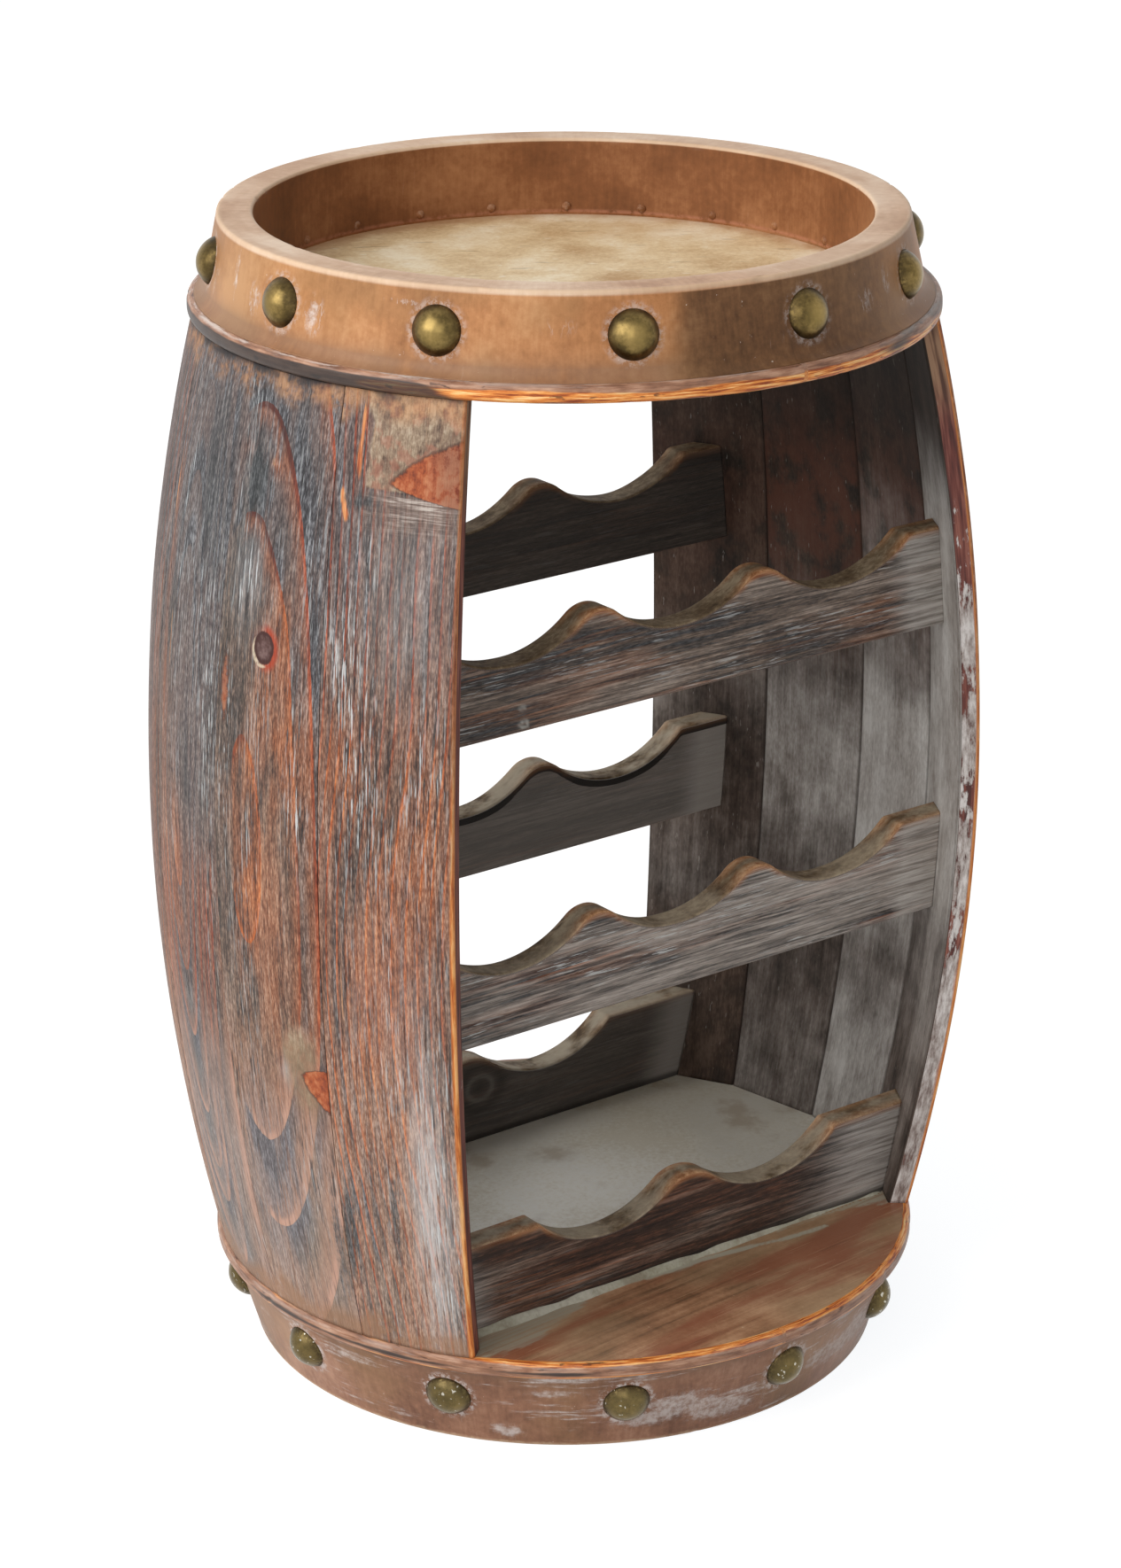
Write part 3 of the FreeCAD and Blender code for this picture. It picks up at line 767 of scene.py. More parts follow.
def base_floor_paint():
    """Top of the base board: grey wash between the rails, copper paint in front of them, smeared filler."""
    paint = Finish("base_floor_paint", "sweep")
    cloud = paint.specks(16, detail=5, rough=0.6)
    fine = paint.specks(420, detail=4, rough=0.7)
    brush = paint.streaks(330, 7, detail=4, rough=0.6)
    grey_tone = cloud * 0.65 + fine * 0.35
    paint.colour = grey_tone.ramp((0.4, 226, 218, 200), (0.5, 244, 240, 228), (0.6, 250, 248, 240))
    # Painted shade: the grey floor darkens towards the back and the right
    paint.coat((paint.field("floor_shade") + cloud.sway(2.0)).step(0.0, 1.0) * 0.5, (174, 163, 138))
    paint.coat(paint.specks(26, detail=5, rough=0.65).step(0.52, 0.68) * 0.5, (164, 140, 108))
    grey = paint.colour
    copper_tone = brush * 0.25 + cloud * 0.6 + fine * 0.15
    paint.colour = copper_tone.ramp((0.38, 120, 84, 58), (0.5, 169, 124, 91), (0.62, 206, 163, 127))
    paint.coat(paint.specks(11, detail=3).step(0.42, 0.62) * 0.5, (142, 122, 92))
    paint.coat(paint.streaks(40, 9, 5.0, detail=4).step(0.46, 0.62) * 0.7, (144, 79, 55))
    paint.coat(paint.streaks(900, 30, 9.0, detail=3).step(0.6, 0.7) * 0.35, (206, 168, 132))
    paint.coat(brush.step(0.44, 0.34) * cloud.step(0.6, 0.4) * 0.35, (88, 66, 50))
    paint.colour = paint.mix(paint.field("front").step(-1.0 * MM, 1.0 * MM), grey, paint.colour)
    wander = paint.streaks(120, 30, 13.0, detail=5, rough=0.65).sway(30.0 * MM)
    smear = (paint.field("smear") + wander).step(2.5 * MM, -2.0 * MM)
    paint.coat(smear * (brush.step(0.38, 0.58) * 0.5 + 0.3), (172, 167, 148))
    prong = (paint.field("prong") + wander * 0.2).step(1.0 * MM, -0.6 * MM)
    paint.coat(prong * 0.85, (180, 175, 156))
    paint.coat(fine.step(0.70, 0.74) * 0.7, (222, 206, 182))
    return paint.finish(fine + brush, 0.15, 0.4 * MM, 0.36)


def plain_underside():
    wood = Finish("board_underside", "sweep", specular=0.25)
    grain = wood.streaks(220, 6, detail=5, rough=0.6)
    tone = grain * 0.6 + wood.specks(20, detail=4) * 0.4
    wood.colour = tone.ramp((0.36, 66, 52, 42), (0.5, 98, 78, 62), (0.64, 126, 102, 82))
    return wood.finish(grain, 0.25, 0.4 * MM, 0.7)


def stud_brass(name, patina):
    """Antique brass: olive patina, brighter where it is rubbed, with pale paint chips near the rim."""
    brass = Finish(name, metallic=1.0)
    crown = brass.field("crown")
    cloud = brass.specks(130, detail=4, rough=0.6)
    fine = brass.specks(700, detail=3, rough=0.6)
    tone = cloud * 0.7 + fine * 0.3
    brass.colour = tone.ramp((0.38, 72, 60, 36), (0.5, 104, 87, 52), (0.62, 134, 113, 70))
    brass.coat(crown.step(0.3, 0.95) * (0.6 * (1 - patina)), (160, 136, 82))
    brass.coat(0.5 * patina, (104, 93, 64))
    dirty = crown.step(0.45, 0.0) * fine.step(0.3, 0.6)
    brass.coat(dirty * 0.75, (50, 41, 30))
    brass.coat(brass.specks(420, detail=2).step(0.66, 0.70) * patina * 0.8, (206, 202, 190))
    return brass.finish(fine, 0.12, 0.3 * MM, cloud * 0.24 + (0.2 - 0.04 * patina) + dirty * 0.2)


def nail_steel():
    steel = Finish("nail_steel", metallic=1.0)
    spots = steel.specks(900, detail=4, rough=0.6)
    steel.colour = spots.ramp((0.4, 120, 116, 110), (0.62, 172, 170, 166))
    steel.coat(steel.specks(260, detail=3).step(0.56, 0.7) * 0.6, (122, 78, 52))
    return steel.finish(spots, 0.2, 0.2 * MM, 0.45)


def filler():
    paste = Finish("filler", specular=0.3)
    fine = paste.specks(500, detail=3)
    tone = paste.specks(18, detail=3) * 0.7 + fine * 0.3
    paste.colour = tone.ramp((0.36, 148, 141, 120), (0.5, 172, 167, 148), (0.64, 194, 190, 174))
    paste.coat(paste.specks(55, detail=5, rough=0.65).step(0.48, 0.62) * 0.4, (112, 94, 72))
    return paste.finish(fine, 0.3, 0.4 * MM, 0.6)


# Staves


def stave_angles(side):
    """Middle angles of one side's staves, front to back; side is 1 for right and -1 for left."""
    first = OPENING_ANGLE / 2 + STAVE_ANGLE / 2
    return [side * (first + place * STAVE_ANGLE) for place in range(STAVES_PER_SIDE)]


@dataclass
class StaveLook:
    """What a stave shows. Spots are (mm towards the back, level in mm, half width, half height, strength).

    Rings follow each other by the pitch, or lie round an eye at these heights above it, drawn slim across.
    Their lines have a strength (late), end at a level (fade) and at a place across (limit), and may lean.
    Knots are (across, level, half width, half height), wedges (across, level, half width, height, depth).
    Sanded is the patch's lower edge and the end of the saw marks. Inside is the wash by level, russet how
    red-brown the wood is there, and flaked how much more of the edge's paint is gone, or less below 0.
    """

    seed: int
    pitch: float = 6.0
    eye: tuple = None
    rings: tuple = ()
    slim: float = 0.2
    late: float = 0.7
    fade: float = 600.0
    limit: float = 100.0
    lean: float = 0.0
    knots: tuple = ()
    wedges: tuple = ()
    char: tuple = ()
    cool: tuple = ()
    wash: tuple = ()
    warm: tuple = ()
    flames: tuple = ()
    blots: tuple = ()
    tan: tuple = ()
    dashes: tuple = ()
    sanded: tuple = None
    inside: tuple = ((80, 0.2), (200, 0.35), (300, 0.4), (400, 0.15), (440, 0.0))
    stains: tuple = ()
    russet: float = 0.3
    flaked: float = 0.0


STAVE_LOOKS = {
    "stave_left_1": StaveLook(
        1,
        pitch=5.4,
        late=0.95,
        lean=1.0,
        wedges=((-40.0, 477.0, 42.0, 24.0, 9.0),),
        wash=((-17, 130, 8, 70, 0.9), (-8, 425, 22, 40, 0.22), (-4, 230, 26, 50, 0.12)),
        dashes=(
            (13, 345, 7, 40, 0.8), (-14, 330, 12, 40, 0.35), (22, 400, 6, 30, 0.5), (0, 200, 20, 30, 0.3),
        ),
        char=(
            (14, 440, 14, 40, 0.4), (-8, 480, 30, 50, -0.4), (16, 130, 14, 70, 0.7), (26, 480, 8, 40, 0.8),
        ),
        cool=((26, 470, 12, 60, 0.5), (-10, 420, 20, 60, 0.15), (-16, 140, 10, 60, 0.3)),
        warm=(
            (-20, 330, 16, 60, 0.4), (10, 240, 16, 60, 0.6), (22, 345, 10, 30, 0.6), (-10, 260, 14, 80, 0.4),
        ),
        flames=(
            (17.4, 503, 1.2, 9, 1.0), (18.4, 485, 1.6, 11, 1.1), (12.0, 497, 0.9, 10, 0.8),
            (26.0, 470, 1.0, 4, 1.0), (24.7, 465.5, 1.1, 4, 1.0), (23.2, 461, 1.4, 4, 1.0),
            (22.0, 235, 1.6, 50, 0.5),
        ),
        blots=((16, 468, 8, 4, 1.0), (28, 112, 5, 34, 1.0), (2, 120, 2.5, 40, 0.7), (12, 150, 2, 50, 0.6)),
        sanded=(472.0, 450.0),
        flaked=-0.4,
    ),
    "stave_left_2": StaveLook(
        2,
        eye=(12.0, 301.0),
        rings=(50, 152, 200, 262, 340),
        slim=0.23,
        late=0.9,
        limit=20.5,
        knots=((1.0, 394.0, 6.4, 7.6),),
        wedges=((-35.0, 193.0, 17.0, 5.0, 19.0), (27.0, 372.0, 2.6, 13.0, 14.0)),
        char=(
            (0, 480, 36, 40, 0.7), (-28, 420, 8, 70, 0.8), (0, 300, 18, 60, -0.4), (-28, 250, 6, 70, 0.5),
            (6, 128, 22, 36, 1.2),
        ),
        cool=((0, 490, 40, 50, 0.5), (-26, 430, 10, 60, 0.5), (16, 425, 10, 26, 0.3), (8, 122, 24, 40, 0.9)),
        wash=((16, 420, 9, 20, 0.3), (-9, 192, 4, 7, 0.7)),
        warm=(
            (12, 285, 9, 52, 1.0), (-14, 345, 14, 26, 0.9), (-4, 375, 10, 30, 0.6), (-6, 250, 8, 60, 0.4),
            (-10, 405, 7, 18, 0.5), (3, 475, 4, 5, 1.0), (21, 479, 4, 4, 0.9),
        ),
        flames=((5, 476, 5, 4, 0.5), (17, 483, 4, 4, 0.5)),
        blots=((17, 466, 6.5, 13, 1.7), (8, 468, 8, 9, 0.4), (18, 494, 3, 12, 0.5), (-28, 104, 6, 32, 0.6)),
        tan=((-19, 204, 11, 13, 0.8), (-24, 178, 9, 14, 0.6), (-13, 190, 8, 18, 0.5), (8, 400, 7, 22, 0.3)),
        dashes=(
            (27, 350, 5, 40, 0.9), (-20, 320, 6, 24, 0.6), (14, 425, 8, 22, 0.6), (-24, 440, 6, 40, 0.4),
        ),
    ),
    "stave_left_3": StaveLook(
        3,
        eye=(4.0, 320.0),
        rings=(62, 105, 139, 180, 210, 228, 262, 340),
        slim=0.13,
        late=0.5,
        fade=300.0,
        char=((-6, 430, 40, 110, 0.55), (6, 200, 12, 60, 0.7), (2, 120, 14, 50, 0.9)),
        cool=((-6, 430, 40, 90, 0.7), (-14, 330, 20, 60, 0.5), (0, 140, 40, 110, 0.8)),
        warm=((8, 262, 6, 45, 1.0), (24, 400, 3, 90, 0.6), (22, 300, 4, 80, 0.3), (0, 150, 40, 90, -0.35)),
        flames=((26.0, 445, 1.3, 26, 0.7), (17.5, 375, 1.2, 30, 0.6)),
        dashes=((-26, 350, 6, 45, 0.9), (-14, 400, 6, 40, 0.5), (10, 430, 10, 40, 0.3)),
    ),
    "stave_left_4": StaveLook(
        4,
        pitch=7.0,
        late=0.4,
        char=((0, 400, 40, 120, 0.4), (10, 200, 30, 90, 0.5)),
        cool=((0, 380, 40, 140, 0.4),),
        wash=((10, 300, 14, 90, 0.3),),
        warm=((-26, 280, 5, 120, 0.8),),
        flaked=-0.2,
    ),
    "stave_right_1": StaveLook(
        5,
        pitch=5.8,
        knots=((6.0, 215.0, 5.0, 7.0),),
        char=((0, 450, 30, 70, 0.4),),
        cool=((10, 460, 20, 50, 0.4),),
        wash=((-14, 160, 9, 70, 0.6), (16, 350, 6, 50, 0.4)),
        warm=((10, 320, 14, 60, 0.6),),
        inside=(
            (110, 0.22), (190, 0.3), (250, 0.75), (330, 0.9), (380, 0.62), (405, 0.5),
            (432, 0.4), (465, 0.05),
        ),
    ),
    "stave_right_2": StaveLook(
        6,
        eye=(-9.0, 250.0),
        rings=(50, 118, 170, 232, 300, 360),
        slim=0.18,
        char=((6, 440, 26, 60, 0.7), (-10, 120, 20, 40, 0.4)),
        cool=((4, 460, 30, 60, 0.6), (0, 120, 24, 40, 0.5)),
        wash=((20, 300, 6, 70, 0.5),),
        warm=((-9, 250, 9, 50, 0.9), (8, 360, 12, 30, 0.6)),
        inside=(
            (75, 0.5), (110, 0.42), (150, 0.3), (200, 0.6), (250, 0.8), (284, 0.6), (303, 0.33), (340, 0.3),
            (396, 0.22), (420, 0.1), (450, 0.0),
        ),
        russet=0.9,
    ),
    "stave_right_3": StaveLook(
        7,
        pitch=6.4,
        knots=((-8.0, 360.0, 6.0, 8.0),),
        wedges=((36.0, 130.0, 18.0, 12.0, 8.0),),
        char=((10, 420, 24, 80, 0.4),),
        cool=((14, 430, 20, 80, 0.5),),
        wash=((0, 240, 24, 60, 0.2),),
        warm=((0, 200, 16, 80, 0.5),),
        tan=((16, 150, 10, 26, 0.6),),
        inside=(
            (60, 0.3), (110, 0.24), (150, 0.25), (188, 0.34), (225, 0.48), (250, 0.5), (285, 0.32),
            (310, 0.26), (343, 0.12), (400, 0.06), (440, 0.0),
        ),
        stains=((6, 150, 12, 20, 0.5),),
        russet=1.0,
    ),
    "stave_right_4": StaveLook(
        8,
        eye=(6.0, 340.0),
        rings=(44, 92, 150, 196, 240, 300, 380),
        slim=0.16,
        char=((-6, 460, 26, 50, 0.6), (0, 150, 26, 50, 0.4)),
        cool=((0, 440, 30, 60, 0.5), (0, 140, 30, 50, 0.6)),
        wash=((14, 220, 8, 60, 0.6),),
        warm=((6, 340, 8, 50, 0.9),),
        inside=(
            (80, 0.0), (110, 0.08), (156, 0.28), (200, 0.2), (270, 0.26), (300, 0.14),
            (350, 0.04), (410, 0.0),
        ),
        stains=((8, 95, 16, 24, 0.6),),
    ),
}


def blobs(across, level, places):
    """Sum of soft spots given as (across, level, half width, half height, strength) in millimetres."""
    total = np.zeros_like(across)
    for middle, height, wide, tall, strength in places:
        distance = ((across - middle * MM) / (wide * MM)) ** 2 + ((level - height * MM) / (tall * MM)) ** 2
        total += strength * np.exp(-distance)
    return total


def within_spot(across, level, spot, power):
    """Distance inside a spot given as (across, level, half width, height above, depth below) in mm."""
    middle, height, wide, tall, deep = (value * MM for value in spot)
    reach = np.where(level > height, tall, deep)
    share = np.abs((across - middle) / wide) ** power + np.abs((level - height) / reach) ** power
    return (1.0 - share ** (1 / power)) * min(wide, tall + deep)


def growth_rings(across, level, look):
    """Growth rings counted across a stave, bent round its knots."""
    drift = 3.0 * MM * noise(across * 12, level * 5.0, look.seed)
    drift = drift + 0.9 * MM * noise(across * 50, level * 13, look.seed + 90)
    lean = 6.0 * MM * eased((0.385 - level) / 0.11) - 15.0 * MM * eased((0.25 - level) / 0.2)
    place = across + drift - look.lean * lean
    for middle, height, wide, tall in look.knots:
        aside = across - middle * MM
        reach = (aside / (2.6 * wide * MM)) ** 2 + ((level - height * MM) / (3.2 * tall * MM)) ** 2
        place = place - np.tanh(aside / (1.5 * MM)) * wide * MM * 0.8 * np.exp(-reach)
    if look.eye is None:
        return place / (look.pitch * MM) + 0.5 * noise(place * 45, 0.0, look.seed + 70) + 40.0
    middle, height = (value * MM for value in look.eye)
    size = np.hypot((place - middle) / look.slim, level - height)
    return np.interp(size, [0.0] + [ring * MM for ring in look.rings], range(len(look.rings) + 1))


def ring_slope(across, level, look):
    """Rings per metre, in the direction in which they follow each other fastest."""
    step = 0.2 * MM
    here = growth_rings(across, level, look)
    sideways = (growth_rings(across + step, level, look) - here) / step
    upward = (growth_rings(across, level + step, look) - here) / step
    return np.maximum(np.hypot(sideways, upward), LEAST_RING_SLOPE)


def knot_fields(look, across, levels):
    """How far inside a wedge, a knot and its pale crescent each point lies, and the strength of its halo."""
    outside = np.full(across.shape, -0.05)
    wedge, knot, crescent, halo = outside, outside, outside, 0.5
    for spot in look.wedges:
        wedge = np.maximum(wedge, within_spot(across, levels, spot, 1.3))
    for middle, height, wide, tall in look.knots:
        knot = np.maximum(knot, within_spot(across, levels, (middle, height, wide, tall, tall), 2.0))
        halo = 0.12 + 0.88 * eased(0.5 - (across - middle * MM) / (6.0 * MM))
        below = within_spot(across, levels, (middle + 1.3, height - 1.6, wide, tall, tall), 2.0)
        crescent = np.minimum(below, -knot)
    return {"wedge": wedge, "knot": knot, "halo": halo, "crescent": crescent}


def ring_fields(look, across, levels):
    """The growth rings and how strongly their lines show."""
    arch = soft = 0.0
    if look.eye:
        middle, height = (value * MM for value in look.eye)
        size = np.hypot((across - middle) / look.slim, levels - height) + 0.1 * MM
        arch = eased(((levels - height) / size - 0.72) / 0.26)
        soft = eased((0.225 - levels) / 0.06)
    figure = eased((look.fade * MM - levels) / 0.05) * eased((look.limit * MM - across) / (1.5 * MM))
    return {
        "ring": growth_rings(across, levels, look),
        "slope": ring_slope(across, levels, look),
        "wobble": 0.04 if look.eye else 0.5,
        "thick": (2.6 if look.eye else 1.6) * MM * (1.0 + 0.5 * arch + 1.3 * soft),
        "late": look.late,
        "figure": figure,
        "glow": (0.65 * look.late if look.eye else 0.2) * figure,
        "arch": arch,
        "soft": soft,
    }


def sanded_fields(look, across, levels):
    """The sanded patch and the saw marks below it."""
    if not look.sanded:
        return 0.0, 0.0
    top, low = (value * MM for value in look.sanded)
    ragged = levels + 2.0 * MM * noise(across * 120, 0.0, 5)
    covers = eased((17.0 * MM - across + 3.5 * MM * noise(levels * 90, 0.0, 6)) / (6.0 * MM))
    saw = covers * eased((top - ragged) / (1.5 * MM)) * eased((ragged - low) / (18.0 * MM))
    return covers * eased((ragged - top) / (2.0 * MM)), saw


def stave_fields(look, across, levels, outer, radius, kinds, turn, first, last):
    """The values that a stave's materials read, at each of its points."""
    inside = kinds == INSIDE
    on_side = (kinds == FRONT_EDGE) | (kinds == BACK_EDGE)
    depth = outer - radius
    to_corner = outer * math.sin(turn) - np.abs(across)
    inner_corner = (outer - STAVE_THICKNESS) * math.tan(turn) - np.abs(across)
    edge = np.where(on_side, depth, np.where(inside, inner_corner, to_corner))

    def spots(places, lowest=-np.inf, highest=np.inf, base=0.0):
        return np.clip(base + blobs(across, levels, places), lowest, highest)

    def near_end(distance, reach, wander, fade, scale, seed):
        """1 at an end of the stave, up to a ragged border; reach, wander and fade are in mm."""
        border = reach * MM + wander * MM * noise(across * scale, 0.0, seed)
        return eased((border - distance) / (fade * MM))

    char = spots(look.char, 0, 1.8, 0.5 + 0.32 * eased((levels - 0.33) / 0.15))
    cool = spots(look.cool, 0, 1.2, 0.2 + 0.25 * eased((levels - 0.36) / 0.1))
    warm = spots(look.warm, 0, 1.3, 0.2 + 0.2 * eased((0.36 - levels) / 0.15))
    wash = spots(look.wash, 0, 1, 0.08 * eased((0.2 - levels) / 0.08))
    russet = look.russet * bell(levels, 0.375, 0.06) + 0.15
    beside = eased((look.limit * MM - across) / (1.5 * MM))
    bare, saw = sanded_fields(look, across, levels)
    from_top = panel_high - levels
    head = near_end(from_top, 13.0, 9.0, 9.0, 60, 7)
    return {
        **ring_fields(look, across, levels),
        **knot_fields(look, across, levels),
        "grain": (np.where(on_side, depth, across), levels, 3.7 * look.seed + 50.0 * inside),
        "pale": 0.07 * eased((0.27 - levels) / 0.16) - 0.018,
        "edge": np.maximum(edge, 0.0),
        "corner": np.where(across < 0, first, last) * (0.35 + 0.6 * eased((0.40 - levels) / 0.16)),
        # Outside this is charcoal grey in the grain; inside it is painted shade, darker towards the top
        # board
        "char": np.where(inside, eased((levels - 0.385) / 0.075), char),
        "cool": cool,
        "warm": np.where(inside, russet, warm),
        "wash": np.where(inside, np.interp(levels / MM, *zip(*look.inside)), wash),
        "stain": np.where(inside, spots(look.stains), spots(look.blots) * beside),
        "blaze": spots(look.flames),
        "dash": spots(look.dashes, 0, 1),
        "bare": np.maximum(bare, spots(look.tan, 0, 1)),
        "saw": saw,
        "head": np.where(on_side, eased((levels - 0.455) / 0.03), head),
        "shadow": near_end(from_top, 4.5, 2.5, 4.0, 40, 9),
        "foot": near_end(levels - panel_low, 14.0, 9.0, 10.0, 50, 8),
        "flake": look.flaked + 0.85 * (0.36 - levels) + 0.06 * noise(levels * 11, 0.0, look.seed),
    }


def make_stave(name, angle, first, last, materials):
    """A stave whose outside is bent both ways, its inside flat across, its long corners worn round."""
    look = STAVE_LOOKS[name]
    level = np.linspace(panel_low, panel_high, STAVE_LEVELS)
    outer = bulge_radius(level) + 0.18 * MM * noise(level * 9, look.seed, 3)
    inner = outer - STAVE_THICKNESS
    turn = math.radians(STAVE_ANGLE) / 2 - STAVE_SEAM / STAVE_END_RADIUS
    low_wear, high_wear = (FREE_CORNER_WEAR if free else SEAM_CORNER_WEAR for free in (first, last))
    soft = INNER_CORNER_ROUND

    def at(radius, turn):
        return np.stack([radius * np.cos(turn), radius * np.sin(turn)], axis=-1)

    def side(turn):
        """Outer corner, inner corner and the unit vector from the inner one to the outer one."""
        corner, deep = at(outer, turn), at(inner / math.cos(turn), turn)
        return corner, deep, (corner - deep) / np.linalg.norm(corner - deep, axis=1)[:, None]

    low_corner, low_inner, low_out = side(-turn)
    high_corner, high_inner, high_out = side(turn)
    across_unit = np.array([0.0, 1.0])
    high_worn, high_deep = high_corner - high_out * high_wear, high_inner + high_out * soft
    low_worn, low_deep = low_corner - low_out * low_wear, low_inner + low_out * soft
    high_flat, low_flat = high_inner - across_unit * soft, low_inner + across_unit * soft

    outline = Outline()
    start, end = -turn + low_wear / outer, turn - high_wear / outer
    for place in range(STAVE_COLUMNS):
        phi = start + (end - start) * (place / (STAVE_COLUMNS - 1))
        ripple = 0.12 * MM * noise(phi * outer * 70, level * 18, look.seed + 40)
        outline.add([at(outer + ripple, phi)], OUTSIDE)
    outline.bend(outline.points[-1], high_corner, high_worn, OUTSIDE)
    outline.run(high_worn, high_deep, 7, BACK_EDGE)
    outline.bend(high_deep, high_inner, high_flat, INSIDE)
    outline.run(high_flat, low_flat, 25, INSIDE)
    outline.bend(low_flat, low_inner, low_deep, INSIDE)
    outline.run(low_deep, low_worn, 7, FRONT_EDGE)
    outline.bend(low_worn, low_corner, outline.points[0], OUTSIDE)

    flat = np.stack(outline.points, axis=1)
    kinds = np.array(outline.kinds)
    away, across = flat[..., 0], flat[..., 1]
    out = outward(angle)
    back = math.copysign(1.0, angle) * np.array([-out[1], out[0]])
    levels = np.broadcast_to(level[:, None], across.shape)
    points = np.stack([away * out[0] + across * back[0], away * out[1] + across * back[1], levels], axis=-1)
    radius = np.hypot(away, across)
    fields = stave_fields(look, across, levels, outer[:, None], radius, kinds, turn, first, last)
    slots = {OUTSIDE: 0, FRONT_EDGE: 2 if first else 1, INSIDE: 1, BACK_EDGE: 2 if last else 1}
    patches = np.concatenate([np.tile([slots[kind] for kind in kinds], STAVE_LEVELS - 1), [1, 1]])
    make_piece(name + "_wood", [name], points, swept(points), materials, patches, fields)


# Rails


@dataclass
class RailLook:
    """How a rail is cut and weathered: its row of hollows, grey wash, shade, worn peaks, washed hollows,
    red-brown stain, a black band along its hollows, how plain its front is, and how far its washed ends
    reach in mm, left and right. Ring marks are (x, level or depth in mm, radius, width, strength, kind of
    face) and dark below 0."""

    seed: int
    row: tuple
    wash: float
    dark: float
    corner: float
    cut_wash: float
    stain: float = 0.0
    band: float = 0.0
    plain: float = 0.0
    ends: tuple = (34.0, 34.0)
    marks: tuple = ()


RAIL_LOOKS = {
    "top_rail_front": RailLook(
        21, WIDE_ROW, wash=0.2, dark=0.12, corner=0.95, cut_wash=0.1, ends=(20, 42),
        marks=((-91, 353, 2.0, 0.8, 1.0, RAIL_FRONT), (-92, 361, 1.2, 0.8, 0.7, RAIL_FRONT)),
    ),
    "top_rail_back": RailLook(22, WIDE_ROW, wash=0.05, dark=0.35, corner=0.5, cut_wash=0.1, plain=0.85),
    "middle_rail_front": RailLook(
        23, WIDE_ROW, wash=0.5, dark=0.04, corner=0.8, cut_wash=0.35,
        marks=((-63, -76, 3.4, 0.9, -1.0, RAIL_CUT), (-63, -76, 0.0, 1.2, -0.8, RAIL_CUT)),
    ),
    "middle_rail_back": RailLook(
        24, WIDE_ROW, wash=0.48, dark=0.0, corner=0.4, cut_wash=0.9, band=0.9, plain=0.85
    ),
    "bottom_rail_front": RailLook(
        25, BOTTOM_FRONT_ROW, wash=0.14, dark=0.16, corner=0.8, cut_wash=0.5, stain=0.92, ends=(34, 84)
    ),
    "bottom_rail_back": RailLook(
        26, BOTTOM_BACK_ROW, wash=0.2, dark=0.22, corner=0.3, cut_wash=0.9, plain=0.85,
        marks=(
            (7, 82, 8.0, 2.4, 0.3, RAIL_FRONT), (7, 82, 0.0, 5.0, -0.5, RAIL_FRONT),
            (7, 82, 14.0, 3.5, -0.5, RAIL_FRONT),
        ),
    ),
}


def scallop_radii(pitch, peak_round):
    """Radius of a hollow, and of a hollow and a peak together."""
    both = ((pitch / 2) ** 2 + SCALLOP_DEPTH ** 2) / (2 * SCALLOP_DEPTH)
    return both - peak_round, both


def scallop_top(x, top, count, pitch, shift, peak_round):
    """Level of a rail's top edge: flat ends, round hollows and rounded peaks between them."""
    half_pitch = pitch / 2
    hollow, both_radii = scallop_radii(pitch, peak_round)
    side_run = hollow * half_pitch / both_radii
    middles = [shift + (place - (count - 1) / 2) * pitch for place in range(count)]
    level = np.full_like(x, top)
    for middle in middles:
        run = x - middle
        dip = top - SCALLOP_DEPTH + hollow - np.sqrt(np.maximum(hollow ** 2 - run ** 2, 0.0))
        level = np.where(np.abs(run) < hollow, np.minimum(level, dip), level)
    for middle in middles[:-1]:
        run = x - middle - half_pitch
        crown = top - peak_round + np.sqrt(np.maximum(peak_round ** 2 - run ** 2, 0.0))
        level = np.where(np.abs(run) < half_pitch - side_run, crown, level)
    return level


def row_reach(count, pitch, shift, peak_round):
    """How far the outermost hollows' mouths lie from the middle."""
    hollow, _ = scallop_radii(pitch, peak_round)
    mouth = math.sqrt(hollow ** 2 - (hollow - SCALLOP_DEPTH) ** 2)
    return (count - 1) / 2 * pitch + abs(shift) + mouth


def rail_end(depth, level):
    """Where a rail's end meets the flat inside of the nearest stave."""
    angle = math.radians(stave_angles(1)[0])
    inner = bulge_radius(level) - STAVE_THICKNESS
    return (inner - np.abs(depth) * math.cos(angle)) / math.sin(angle)


